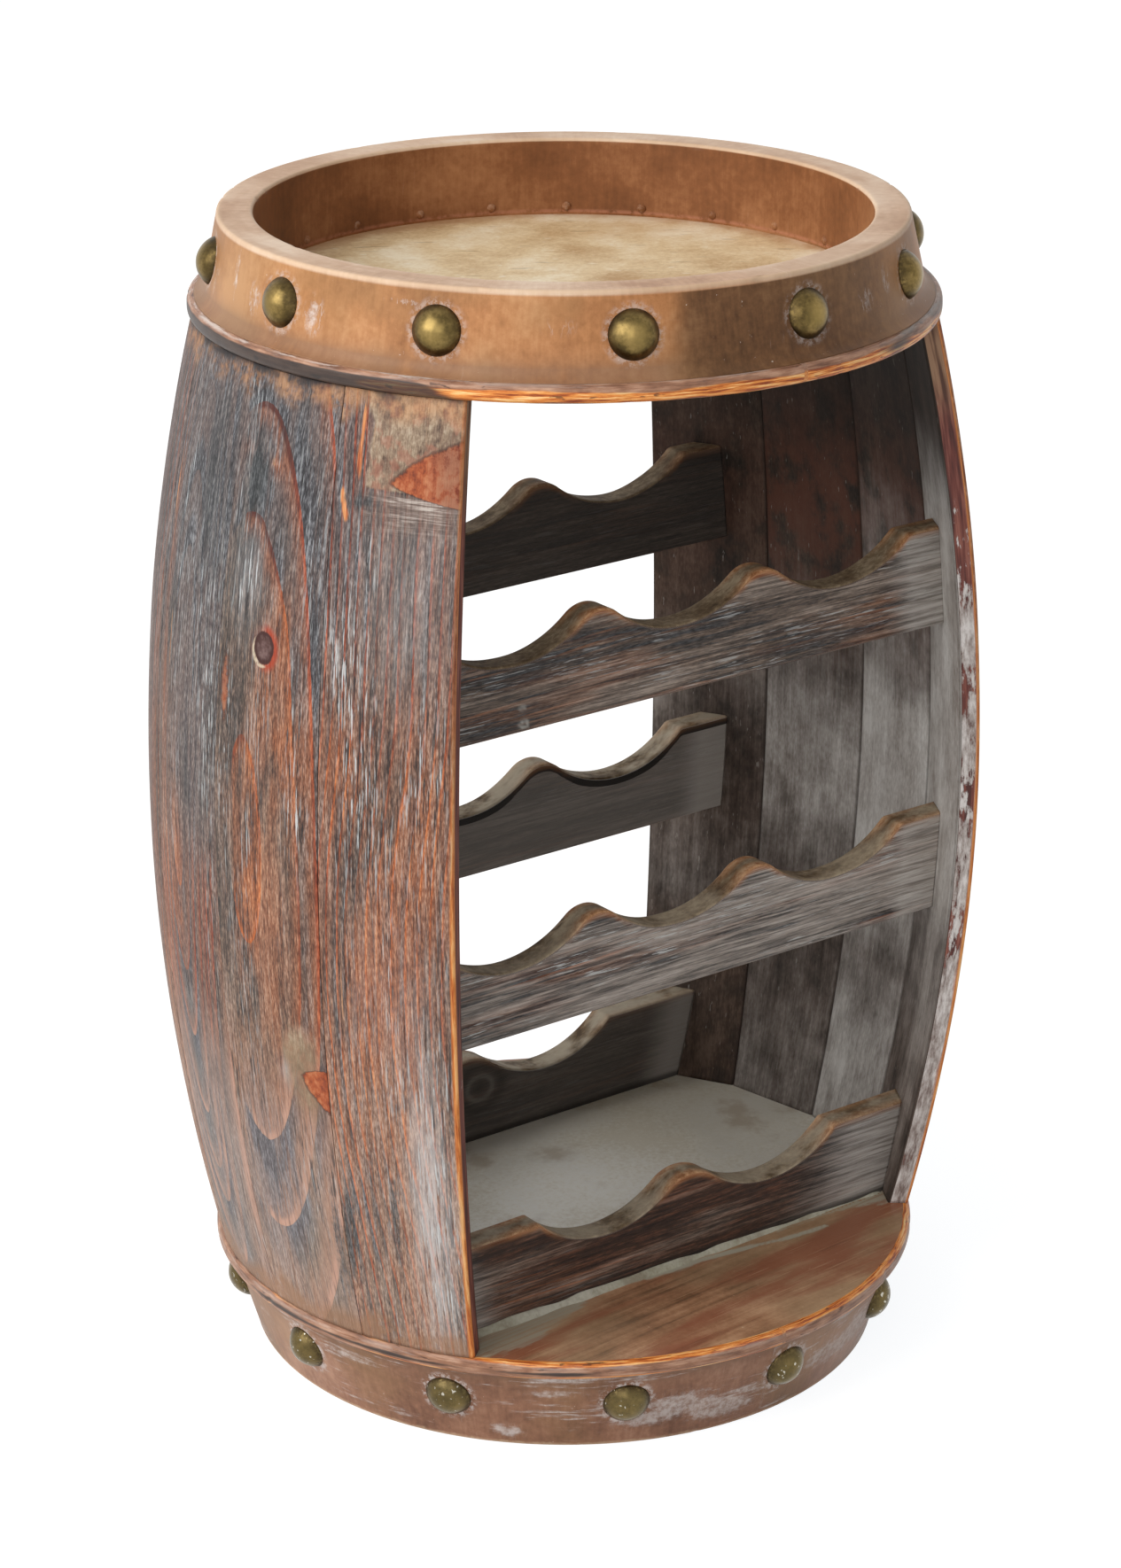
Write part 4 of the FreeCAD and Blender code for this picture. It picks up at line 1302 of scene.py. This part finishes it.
def rail_fields(look, x, depth, level, kinds, near, far, below_top, peak, plain, end):
    """The values that a rail's materials read, apart from its foot."""
    on_top, on_front = kinds == RAIL_CUT, kinds == RAIL_FRONT
    flat_end = eased((np.abs(x) - plain + 4.0 * MM) / (8.0 * MM))
    reach = np.where(x < 0, *look.ends) * MM
    at_end = eased((reach - end + np.abs(x)) / (0.88 * reach)) * (look.wash > 0.12)
    across = np.where(on_top, depth, np.where(kinds == RAIL_UNDER, depth + 0.3, level))
    mark = np.zeros(x.shape)
    for middle, place, radius, width, strength, kind in look.marks:
        gap = np.hypot(x - middle * MM, 1.2 * (across - place * MM)) / MM - radius
        mark += strength * bell(gap, 0.0, width) * (kinds == kind)
    drift = 3.0 * MM * noise(x * 7, level * 30, look.seed)
    drift = drift + 0.8 * MM * noise(x * 25, level * 90, look.seed + 1)
    return {
        "grain": (across, x, 2.9 * look.seed),
        "ring": (across + drift) / RAIL_RING_PITCH + 60.0,
        "slope": 1.0 / RAIL_RING_PITCH,
        "wobble": 0.5,
        "thick": 1.6 * MM,
        "edge": np.where(on_top, np.minimum(depth - near, far - depth), below_top),
        "corner": look.corner * peak * (1 - 0.5 * flat_end),
        "wash": np.where(on_top, look.cut_wash, look.wash + at_end),
        "stain": look.stain * (1.0 - at_end),
        "dark": look.dark,
        "plain": look.plain * on_front,
        "mark": mark,
        "band": look.band * eased((5.5 * MM - below_top) / (1.2 * MM)) * on_front,
    }


def make_rail(name, look, materials):
    """A rail with a row of hollows in its top, its ends cut to the inside of the staves."""
    low_corner, high_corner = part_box(name)
    near, far = low_corner.y, high_corner.y
    low, top = low_corner.z, high_corner.z
    plain = row_reach(*look.row) + 1.0 * MM
    inner_run = np.linspace(-plain, plain, RAIL_STATIONS)
    outer_run = plain + np.linspace(0.0, 1.0, RAIL_END_STATIONS + 1)[1:] ** 0.9
    nominal = np.concatenate([-outer_run[::-1], inner_run, outer_run])
    within = np.clip(nominal, -plain, plain)
    upper = scallop_top(within, top, *look.row)
    upper = upper - 0.25 * MM + 0.25 * MM * noise(within * 60, 0.0, look.seed)
    soft, foot = RAIL_TOP_ROUND, low + RAIL_FOOT_ROUND

    def at(depth, level):
        return np.stack(np.broadcast_arrays(depth, level, nominal)[:2], axis=-1)

    front_top, back_top = at(near, upper - soft), at(far, upper - soft)
    front_cut, back_cut = at(near + soft, upper), at(far - soft, upper)
    front_foot, back_foot = at(near, foot), at(far, foot)
    front_under, back_under = at(near + RAIL_FOOT_ROUND, low), at(far - RAIL_FOOT_ROUND, low)
    outline = Outline()
    outline.run(front_foot, front_top, 25, RAIL_FRONT)
    outline.bend(front_top, at(near, upper), front_cut, RAIL_CUT)
    outline.run(front_cut, back_cut, 9, RAIL_CUT)
    outline.bend(back_cut, at(far, upper), back_top, RAIL_CUT)
    outline.run(back_top, back_foot, 25, RAIL_BACK)
    outline.bend(back_foot, at(far, low), back_under, RAIL_BACK)
    outline.run(back_under, front_under, 7, RAIL_UNDER)
    outline.bend(front_under, at(near, low), front_foot, RAIL_UNDER)

    flat = np.stack(outline.points, axis=1)
    kinds = np.array(outline.kinds)
    depth, level = flat[..., 0], flat[..., 1]
    end = rail_end(depth, level)
    share = np.maximum(np.abs(nominal) - plain, 0.0)[:, None]
    x = within[:, None] + np.sign(nominal)[:, None] * share * (end - plain)
    outwards = np.where(kinds == RAIL_FRONT, -1.0, np.where(kinds == RAIL_BACK, 1.0, 0.0))
    depth = depth + 0.12 * MM * noise(x * 12, level * 70, look.seed + 3) * outwards
    points = np.stack([x, depth, level], axis=-1)
    peak = eased((upper - (top - SCALLOP_DEPTH)) / SCALLOP_DEPTH * 1.3 - 0.3)[:, None]
    fields = rail_fields(look, x, depth, level, kinds, near, far, upper[:, None] - level, peak, plain, end)
    # Painted shadow along the foot of the bottom rails; the other rails are offset so that it stays off them
    fields["foot"] = level - low + (0.0 if name.startswith("bottom") else 0.05)
    patches = np.concatenate([np.tile(kinds == RAIL_CUT, len(nominal) - 1), [0, 0]])
    make_piece(name + "_wood", [name], points, swept(points), materials, patches, fields)


# Hoops, boards and studs


def turned(profile, angles, shift):
    """Points of a turned piece: a profile of (radius, level), shifted outwards, at a column of angles."""
    radius = profile[:, 0] + shift
    return np.stack([radius * np.sin(angles), -radius * np.cos(angles), profile[:, 1] + 0 * radius], axis=-1)


def arc_lengths(profile):
    """Length along a profile up to each of its points."""
    return np.concatenate([[0.0], np.cumsum(np.linalg.norm(np.diff(profile, axis=0), axis=1))])


def stud_angles():
    return [STUD_FIRST_ANGLE + place * 360.0 / STUD_COUNT for place in range(STUD_COUNT)]


def hoop_radius(level, board_face, free, narrow, foot, cove, soft):
    """Radius of a hoop's cone at a level, and how much it widens per unit towards the board."""
    way = math.copysign(1.0, free - board_face)
    run = abs(free - board_face) - cove - soft
    flare = (foot - cove - narrow) / run
    return narrow + flare * (way * (free - way * soft - level)), flare


@dataclass
class HoopLook:
    """How worn a hoop is, and where shade is painted on it. Smudges are (angle, level in mm, half width,
    half height, strength); the painted shade and the scuffed side run from one angle to another and have a
    strength."""

    seed: int
    scuffs: float
    scuff_ends: float
    rim_sheen: float
    smudges: tuple
    painted_shade: tuple = ()
    scuffed_side: tuple = (0, 0, 0.0)


TRAY_HOOP_LOOK = HoopLook(
    31,
    scuffs=-0.06,
    scuff_ends=0.0,
    rim_sheen=1.0,
    smudges=(
        (-79, 541, 6, 9, 1.0), (-94, 540, 6, 9, 0.8), (-101, 546, 2, 13, 1.0), (-110, 538, 6, 10, 0.6),
        (-62, 553, 13, 1.2, 0.9), (-38, 546, 12, 6, 0.45), (17, 541, 6, 5, 1.0), (24, 546, 4, 8, 0.7),
        (31, 549, 3, 8, 0.9), (120, 543, 12, 8, 0.8), (175, 546, 14, 6, 0.7),
    ),
    painted_shade=((-27, 46, 0.78), (130, 178, 0.5)),
)
BASE_HOOP_LOOK = HoopLook(
    33,
    scuffs=0.015,
    scuff_ends=0.1,
    rim_sheen=0.0,
    smudges=(
        (-38, 33, 22, 3, 0.9), (-18, 22, 26, 9, 0.9), (-25, 12, 14, 5, 0.9), (-47, 8, 11, 6, 1.0),
        (-8, 12, 24, 8, 1.0), (15, 20, 26, 12, 0.9), (28, 24, 22, 15, 1.0), (48, 18, 20, 14, 0.8),
        (-75, 34, 26, 4, 0.8), (-100, 24, 20, 12, 0.6),
    ),
    scuffed_side=(-25, 85, 0.04),
)


def hoop_outline(hoop, bore):
    """Profile of a hoop as (radius, level), and the kind of face at each of its points."""
    board_face, free, narrow, foot, cove, soft = hoop
    way = math.copysign(1.0, free - board_face)
    cove_top = board_face + way * cove
    edge_level = free - way * soft
    wide = foot - cove
    hollow = (wide + 0.25 * cove, board_face + way * 0.25 * cove)
    outline = Outline(joined=True)
    outline.run((bore, board_face), (foot, board_face), 8, SEAT)
    outline.bend((foot, board_face), hollow, (wide, cove_top), COVE, 8)
    outline.run((wide, cove_top), (narrow, edge_level), 30, CONE)
    outline.bend((narrow, edge_level), (narrow, free), (narrow - soft, free), CORNER, 5)
    outline.run((narrow - soft, free), (bore + soft, free), 12, RIM)
    outline.bend((bore + soft, free), (bore, free), (bore, edge_level), CORNER, 5)
    outline.run((bore, edge_level), (bore, board_face), 24, BORE)
    return np.array(outline.points), np.array(outline.kinds)


def hoop_fields(profile, kinds, angles, hoop, bore, stud_level, look):
    """The values that a hoop's paint reads, at each of its points."""
    board_face, free, narrow, _, cove, _ = hoop
    across, level = profile[:, 0], profile[:, 1]
    cove_top = board_face + math.copysign(cove, free - board_face)
    outside = (kinds == CONE) | (kinds == COVE)
    bearing = np.degrees(turned_to(angles))
    stud_radius, _ = hoop_radius(stud_level, *hoop)
    stud_gap, smudge = 1.0, 0.0
    for angle in stud_angles():
        gap = np.hypot(turned_to(angles - math.radians(angle)) * stud_radius, level - stud_level)
        stud_gap = np.minimum(stud_gap, np.where(outside, np.abs(gap - STUD_RADIUS), 1.0))
    for angle, height, wide, tall, strength in look.smudges:
        apart = turned_to(angles - math.radians(angle)) * stud_radius
        reach = (apart / (wide * MM)) ** 2 + ((level - height * MM) / (tall * MM)) ** 2
        smudge = smudge + strength * np.exp(-reach) * outside
    # Painted shade: sweeps round the outside where the copper is darkened
    painted_shade = sum(strength * window(bearing, start, end, 12.0, 40.0) for start, end, strength in look.painted_shade)
    start, end, amount = look.scuffed_side
    more = amount * window(bearing, start, end, 25.0, 25.0)
    from_ends = np.minimum(np.abs(level - cove_top), np.abs(level - free))
    scuff = look.scuffs + 0.5 * look.scuff_ends * np.exp(-from_ends / (5 * MM))
    near_cove = np.where(kinds == CONE, np.exp(-np.abs(level - cove_top) / (4 * MM)), 0.0)
    return {
        "wrap": (angles * narrow, arc_lengths(profile), float(look.seed)),
        "edge": np.minimum(np.hypot(across - narrow, level - free), np.hypot(across - bore, level - free)),
        # Painted sheen: the rim's top is paler
        "rim": ((kinds == RIM) | (kinds == CORNER)) * look.rim_sheen,
        "cove": np.where(kinds == COVE, 1.0, near_cove),
        "inner": kinds == BORE,
        "line": (kinds == BORE) & (np.abs(level - board_face) < 2.5 * MM),
        "scuff": np.where(outside, scuff, -0.12) + more * outside,
        "stud": stud_gap,
        "smudge": np.clip(smudge, 0.0, 1.0),
        "painted_shade": painted_shade * outside,
    }


def make_hoop(name, node, hoop, bore, stud_level, material, look):
    """Turned hoop: wide and coved at its board, narrow at its free edge, with the odd nick in its rim."""
    board_face, free = hoop[:2]
    profile, kinds = hoop_outline(hoop, bore)
    angles = circle(HOOP_STATIONS)[:, None]
    free_share = np.abs(profile[:, 1] - board_face) / abs(free - board_face)
    slow = ring_noise(angles, 1.6, look.seed) * 0.5 * MM * free_share
    dents = np.maximum(ring_noise(angles, 22.0, look.seed + 5) - 0.62, 0.0) * 2.2 * MM
    inwards = np.where(profile[:, 0] > bore + 5 * MM, -1.0, 1.0)
    loops = turned(profile, angles, slow + dents * (kinds == CORNER) * inwards)
    fields = hoop_fields(profile, kinds, angles, hoop, bore, stud_level, look)
    make_piece(name, [node], loops, swept(loops, closed=True), [material], fields=fields)


def tray_edge_wear(share, bearing):
    """Wear of the tray board's edge by height and bearing: bare wood, soot with painted shadow, and chalk
    with a painted highlight.
    """
    front = window(bearing, -78.0, 66.0, 20.0, 20.0)
    left = window(bearing, -150.0, -42.0, 20.0, 20.0)
    right = window(bearing, 0.0, 100.0, 25.0, 20.0)
    worn = (0.1 + 0.8 * front) * bell(share, 0.36, 0.38)
    # Soot and painted shadow, heaviest on the left side of the lip
    soot = 0.1 * eased((0.26 - share) / 0.16) + 0.75 * left * eased((0.98 - share) / 0.3) + 0.5 * right
    return worn, soot, (0.35 + 0.6 * left) * bell(share, 1.0, 0.1)


def base_edge_wear(share, bearing):
    """Wear of the base board's edge: a bright line along its top, a second one along its foot."""
    right = window(bearing, -60.0, 75.0, 30.0, 15.0)
    left = window(bearing, -110.0, -20.0, 20.0, 20.0)
    worn = (0.35 + 0.6 * right) * bell(share, 0.97, 0.2) + 0.7 * bell(share, 0.06, 0.17)
    return worn, (0.1 + 0.55 * left) * bell(share, 0.42, 0.22), 0.3 * bell(share, 0.75, 0.12)


def make_board(name, node, radius, low, high, materials, seed, brush_turn, edge_wear):
    """Round board with a worn, rounded edge. Materials are for the top, the edge and the underside."""
    flat = radius - BOARD_EDGE_ROUND
    outline = Outline(joined=True)
    outline.run((BOARD_MIDDLE, high), (flat, high), 89, BOARD_TOP)
    outline.bend((flat, high), (radius, high), (radius, high - BOARD_EDGE_ROUND), BOARD_LIP, 9)
    outline.bend((radius, low + BOARD_EDGE_ROUND), (radius, low), (flat, low), BOARD_LIP, 9)
    outline.run((flat, low), (BOARD_MIDDLE, low), 59, BOARD_UNDER)
    outline.add([np.array([BOARD_MIDDLE, low])], BOARD_UNDER)
    profile, kinds = np.array(outline.points), np.array(outline.kinds)

    angles = circle(BOARD_STATIONS)[:, None]
    slow = ring_noise(angles, 2.2, seed) * 0.5 * MM - 0.3 * MM
    nick = np.minimum(0.55 - ring_noise(angles, 26.0, seed + 2), 0.0) * 1.5 * MM
    loops = np.swapaxes(turned(profile, angles, (kinds == BOARD_LIP) * (slow + nick)), 0, 1)

    # Wear of the edge with soot, painted shadow and a painted highlight, the bottom front rail's smear of
    # filler with its prong, and painted shade on the floor, darker towards the back and the right
    share = ((profile[:, 1] - low) / (high - low))[:, None]
    worn, soot, shine = edge_wear(share, np.degrees(turned_to(angles)).T)
    x, y = loops[..., 0], loops[..., 1]
    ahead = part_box("bottom_rail_front")[0].y - y
    smear_width = 1.0 * MM + 18.0 * MM * eased((-x - 0.04) / 0.07) + 4.0 * MM * eased((x - 0.07) / 0.03)
    prong_line = 3.0 * MM + 9.0 * MM * eased(x / 0.08)
    prong_ends = 40.0 * MM * (eased((x - 0.086) / 0.01) + eased((-0.02 - x) / 0.02))
    floor_shade = 0.5 * eased((y + 0.02) / 0.1) + 0.55 * eased((x - 0.02) / 0.09) - 0.3 * eased((-x - 0.02) / 0.08)
    run = (math.cos(math.radians(brush_turn)), math.sin(math.radians(brush_turn)))
    fields = {
        "wrap": ((angles * radius).T, arc_lengths(profile)[:, None], float(seed)),
        "sweep": (y * run[0] - x * run[1], x * run[0] + y * run[1], float(seed)),
        "worn": worn,
        "soot": soot,
        "shine": shine,
        "rim": np.abs(TRAY_BORE_RADIUS - profile[:, 0])[:, None],
        "front": np.maximum(ahead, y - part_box("bottom_rail_back")[1].y),
        "smear": np.where(ahead < 0, 0.05, ahead - smear_width - 3.0 * MM * noise(x * 40, 0.0, 12)),
        "prong": np.abs(ahead - prong_line) - 1.6 * MM + prong_ends,
        "floor_shade": floor_shade,
    }
    patches = np.concatenate([np.repeat(kinds[:-1], BOARD_STATIONS), [BOARD_TOP, BOARD_UNDER]])
    make_piece(name, [node], loops, swept(loops), materials, patches, fields)


def dome_points(radius, height, rings, count, seed, dent):
    """A dome round +X, its foot at the origin: loops from the foot up, and how near the crown each is."""
    ball = (radius ** 2 + height ** 2) / (2 * height)
    full = math.asin(min(1.0, radius / ball))
    turn = circle(count)
    loops = [np.stack([np.full(count, -DOME_SUNK), radius * np.cos(turn), radius * np.sin(turn)], axis=-1)]
    shares = np.linspace(0.0, DOME_TOP_SHARE, rings)
    for share in shares:
        lean = full * (1 - share)
        out = ball * math.sin(lean)
        rise = height - ball * (1 - math.cos(lean))
        uneven = dent * noise(out * np.cos(turn) * 180 + 9, out * np.sin(turn) * 180 + seed, seed)
        loops.append(np.stack([rise + uneven, out * np.cos(turn), out * np.sin(turn)], axis=-1))
    return np.array(loops), np.repeat([0.0, *shares], count)


def placed(points, angle, radius, level, tilt):
    """Points that face along +X, tilted up and set out from the barrel's axis."""
    rise, run = math.sin(tilt), math.cos(tilt)
    x = points[:, 0] * run - points[:, 2] * rise + radius
    z = points[:, 0] * rise + points[:, 2] * run + level
    out = outward(angle)
    side = np.array([-out[1], out[0], 0.0])
    return x[:, None] * out + points[:, 1:2] * side + z[:, None] * np.array([0.0, 0.0, 1.0])


def make_domes(name, node, slot, material, places, radius, height, rings, count, dent):
    """A group of domes at places given as (angle, radius, level, tilt)."""
    points, faces, crowns = [], [], []
    for number, place in enumerate(places):
        loops, crown = dome_points(radius, height, rings, count, number + 1, dent)
        base = number * len(crown)
        group = placed(loops.reshape(-1, 3), *place)
        outer = facing_out(group - group.mean(0), swept(loops))
        faces += [[base + corner for corner in face] for face in outer]
        points.append(group)
        crowns.append(crown)
    # The pins wear the hoop's paint and take the brown of its inner wall
    fields = {"crown": np.concatenate(crowns), "inner": 1.0}
    make_piece(name, [node], np.concatenate(points), faces, [material], fields=fields)


def make_studs(name, node, hoop, level, material):
    board_face, free = hoop[:2]
    radius, flare = hoop_radius(level, *hoop)
    tilt = math.copysign(1.0, free - board_face) * math.atan(flare)
    places = [(angle, radius, level, tilt) for angle in stud_angles()]
    size = (STUD_RADIUS, STUD_DOME)
    make_domes(name, node, "stud_brass", material, places, *size, rings=14, count=48, dent=0.12 * MM)


def make_pin_heads(material):
    """Small painted heads of the pins at the foot of the tray's wall."""
    angles = [360.0 * (place + 0.5) / PIN_COUNT for place in range(PIN_COUNT)]
    places = [(angle, -TRAY_BORE_RADIUS, PIN_LEVEL, 0.0) for angle in angles]
    size, names = (PIN_RADIUS, PIN_DOME), ("tray_pin_heads", "tray_ring_pins")
    make_domes(*names, "nail_steel", material, places, *size, rings=5, count=16, dent=0.3 * MM)


def make_filler_bead(material):
    """Uneven bead of filler along the foot of the bottom front rail."""
    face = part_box("bottom_rail_front")[0].y
    reach = float(rail_end(np.array(face), np.array(base_high))) - 1.0 * MM
    x = np.linspace(-reach, reach, FILLER_STATIONS)
    size = 2.2 * MM + 1.4 * MM * noise(x * 16, 0.0, 61) + 0.8 * MM * noise(x * 70, 0.0, 62)
    size = size * eased((reach - np.abs(x)) / (8.0 * MM) + 0.25)
    section = []
    for place in range(FILLER_SPACES + 1):
        turn = math.radians(90.0 * place / FILLER_SPACES)
        section.append((face - size * math.cos(turn) ** 1.6, base_high + size * math.sin(turn) ** 1.6))
    behind, below = face + FILLER_OVERLAP, base_high - FILLER_OVERLAP
    section += [(behind, base_high + size), (behind, below), (face - size, below)]
    loops = np.stack([np.stack(np.broadcast_arrays(x, *point), axis=-1) for point in section], axis=1)
    make_piece("filler_bead", [], loops, swept(loops), [material])


# Floor, light and camera

PHOTO_HEIGHT = 1770.0
FOCAL_LENGTH_PIXELS = 4824.3
SENSOR_MM = 36.0
CAMERA_PLACE = Vector((-1.1686, -1.5419, 1.01135))
CAMERA_HEADING = -37.1
CAMERA_PITCH = 20.81
FLOOR_GLOW = (0.86, 0.885, 0.915, 1.0)
FLOOR_SHADE = (0.30, 0.27, 0.22, 1.0)
FLOOR_BOUNCE = (0.8, 0.8, 0.8, 1.0)
FLOOR_HALF_SIZE = 9.0
WORLD_DIM = 0.22
WORLD_BRIGHT = 0.95


def make_camera():
    data = bpy.data.cameras.new("camera")
    data.sensor_width = SENSOR_MM
    data.lens = FOCAL_LENGTH_PIXELS / PHOTO_HEIGHT * SENSOR_MM
    data.clip_start, data.clip_end = 0.05, 60.0
    camera = bpy.data.objects.new("camera", data)
    camera.location = CAMERA_PLACE
    camera.rotation_euler = Euler((math.radians(90.0 - CAMERA_PITCH), 0.0, math.radians(CAMERA_HEADING)))
    bpy.context.scene.collection.objects.link(camera)
    bpy.context.scene.camera = camera


def seen_share(tree):
    """1 for rays that show a surface directly, in a gloss or through glass, and 0 for light that bounces."""
    path = add_node(tree, "LightPath").outputs
    total = path["Is Camera Ray"]
    for name in ("Is Glossy Ray", "Is Transmission Ray"):
        total = add_node(tree, "Math", total, path[name], operation="MAXIMUM").outputs[0]
    return total


def make_floor():
    """Pale to the eye, with the rack's shadow; as light, it bounces like a white floor."""
    mesh = bpy.data.meshes.new("floor")
    size = FLOOR_HALF_SIZE
    corners = [(-size, -size, 0), (size, -size, 0), (size, size, 0), (-size, size, 0)]
    mesh.from_pydata(corners, [], [(0, 1, 2, 3)])
    material = bpy.data.materials.new("floor_white")
    material.use_nodes = True
    tree = material.node_tree
    tree.nodes.clear()
    glow = add_node(tree, "Emission", FLOOR_GLOW).outputs[0]
    shade = add_node(tree, "BsdfDiffuse", FLOOR_SHADE).outputs[0]
    bounce = add_node(tree, "BsdfDiffuse", FLOOR_BOUNCE).outputs[0]
    seen = add_node(tree, "AddShader", glow, shade).outputs[0]
    surface = add_node(tree, "MixShader", seen_share(tree), bounce, seen).outputs[0]
    add_node(tree, "OutputMaterial", surface)
    mesh.materials.append(material)
    floor = bpy.data.objects.new("floor", mesh)
    bpy.context.scene.collection.objects.link(floor)


def make_world():
    """White all round to the eye; as light, bright on the key lamp's side and dim on the other."""
    world = bpy.data.worlds.new("studio")
    bpy.context.scene.world = world
    world.use_nodes = True
    tree = world.node_tree
    heading = math.radians(CAMERA_HEADING)
    left = (-math.cos(heading), -math.sin(heading), 0.0)
    where = add_node(tree, "TexCoord").outputs["Generated"]
    facing = add_node(tree, "VectorMath", where, left, operation="DOT_PRODUCT").outputs["Value"]
    levels = (-0.9, 0.9, WORLD_DIM, WORLD_BRIGHT)
    around = add_node(tree, "MapRange", facing, *levels, interpolation_type="SMOOTHSTEP").outputs[0]
    level = add_node(tree, "Mix", seen_share(tree), None, around, 1.0).outputs[0]
    background = tree.nodes["Background"]
    background.inputs["Color"].default_value = (1.0, 1.0, 1.0, 1.0)
    tree.links.new(level, background.inputs["Strength"])


def add_lamp(name, left_of_camera, height, distance, size, power):
    """Soft lamp aimed at the middle of the rack; its bearing is in degrees to the left of the camera."""
    data = bpy.data.lights.new(name, "AREA")
    data.size = size
    data.energy = power
    lamp = bpy.data.objects.new(name, data)
    bearing = math.radians(CAMERA_HEADING - left_of_camera)
    lift = math.radians(height)
    away = Vector((math.sin(bearing) * math.cos(lift), -math.cos(bearing) * math.cos(lift), math.sin(lift)))
    lamp.location = Vector((0.0, 0.0, panel_middle)) + away * distance
    lamp.rotation_euler = away.to_track_quat("Z", "Y").to_euler()
    bpy.context.scene.collection.objects.link(lamp)


bpy.context.scene.view_settings.view_transform = "Standard"
make_camera()
make_floor()
make_world()
add_lamp("key", left_of_camera=52.0, height=34.0, distance=2.4, size=1.8, power=34.0)
add_lamp("fill", left_of_camera=6.0, height=23.0, distance=2.4, size=1.2, power=7.0)

# Build the rack

stave_materials = [stave_outside(), stave_inside(), stave_edge()]
for side_name, side in (("left", -1), ("right", 1)):
    for place, angle in enumerate(stave_angles(side), start=1):
        stave_name = "stave_%s_%d" % (side_name, place)
        make_stave(stave_name, angle, place == 1, place == STAVES_PER_SIDE, stave_materials)

rail_materials = [rail_faces(), rail_cut()]
for rail_name, look in RAIL_LOOKS.items():
    make_rail(rail_name, look, rail_materials)

tray_paint = hoop_paint("tray_hoop_paint", TRAY_COPPER, 0.0)
base_paint = hoop_paint("base_hoop_paint", BASE_COPPER, 1.0)
tray_hoop = (tray_floor, rim_level, TRAY_RIM_RADIUS, tray_foot, TRAY_COVE, RIM_ROUND)
base_hoop = (base_low, 0.0, BASE_FOOT_RADIUS, base_foot, BASE_COVE, FOOT_ROUND)
make_hoop("tray_hoop", "tray_ring", tray_hoop, TRAY_BORE_RADIUS, TRAY_STUD_LEVEL, tray_paint, TRAY_HOOP_LOOK)
make_hoop("base_hoop", "base_ring", base_hoop, BASE_BORE_RADIUS, BASE_STUD_LEVEL, base_paint, BASE_HOOP_LOOK)

underside = plain_underside()
tray_materials = [tray_floor_paint(), lip_paint("tray_lip_paint"), underside]
make_board(
    "tray_board", "top_board", top_radius, top_low, tray_floor, tray_materials,
    seed=41, brush_turn=-35.0, edge_wear=tray_edge_wear,
)
floor_materials = [base_floor_paint(), lip_paint("base_lip_paint"), underside]
make_board(
    "floor_board", "base_board", base_radius, base_low, base_high, floor_materials,
    seed=43, brush_turn=4.0, edge_wear=base_edge_wear,
)

make_studs("tray_stud_domes", "tray_studs", tray_hoop, TRAY_STUD_LEVEL, stud_brass("tray_stud_brass", 0.0))
make_studs("base_stud_domes", "base_studs", base_hoop, BASE_STUD_LEVEL, stud_brass("base_stud_brass", 1.0))
make_pin_heads(tray_paint)
make_filler_bead(filler())

steel = nail_steel()
for node in ("top_stave_nails", "base_stave_nails", "rail_nails", "base_ring_pins"):
    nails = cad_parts[node].data
    nails.materials.clear()
    nails.materials.append(steel)
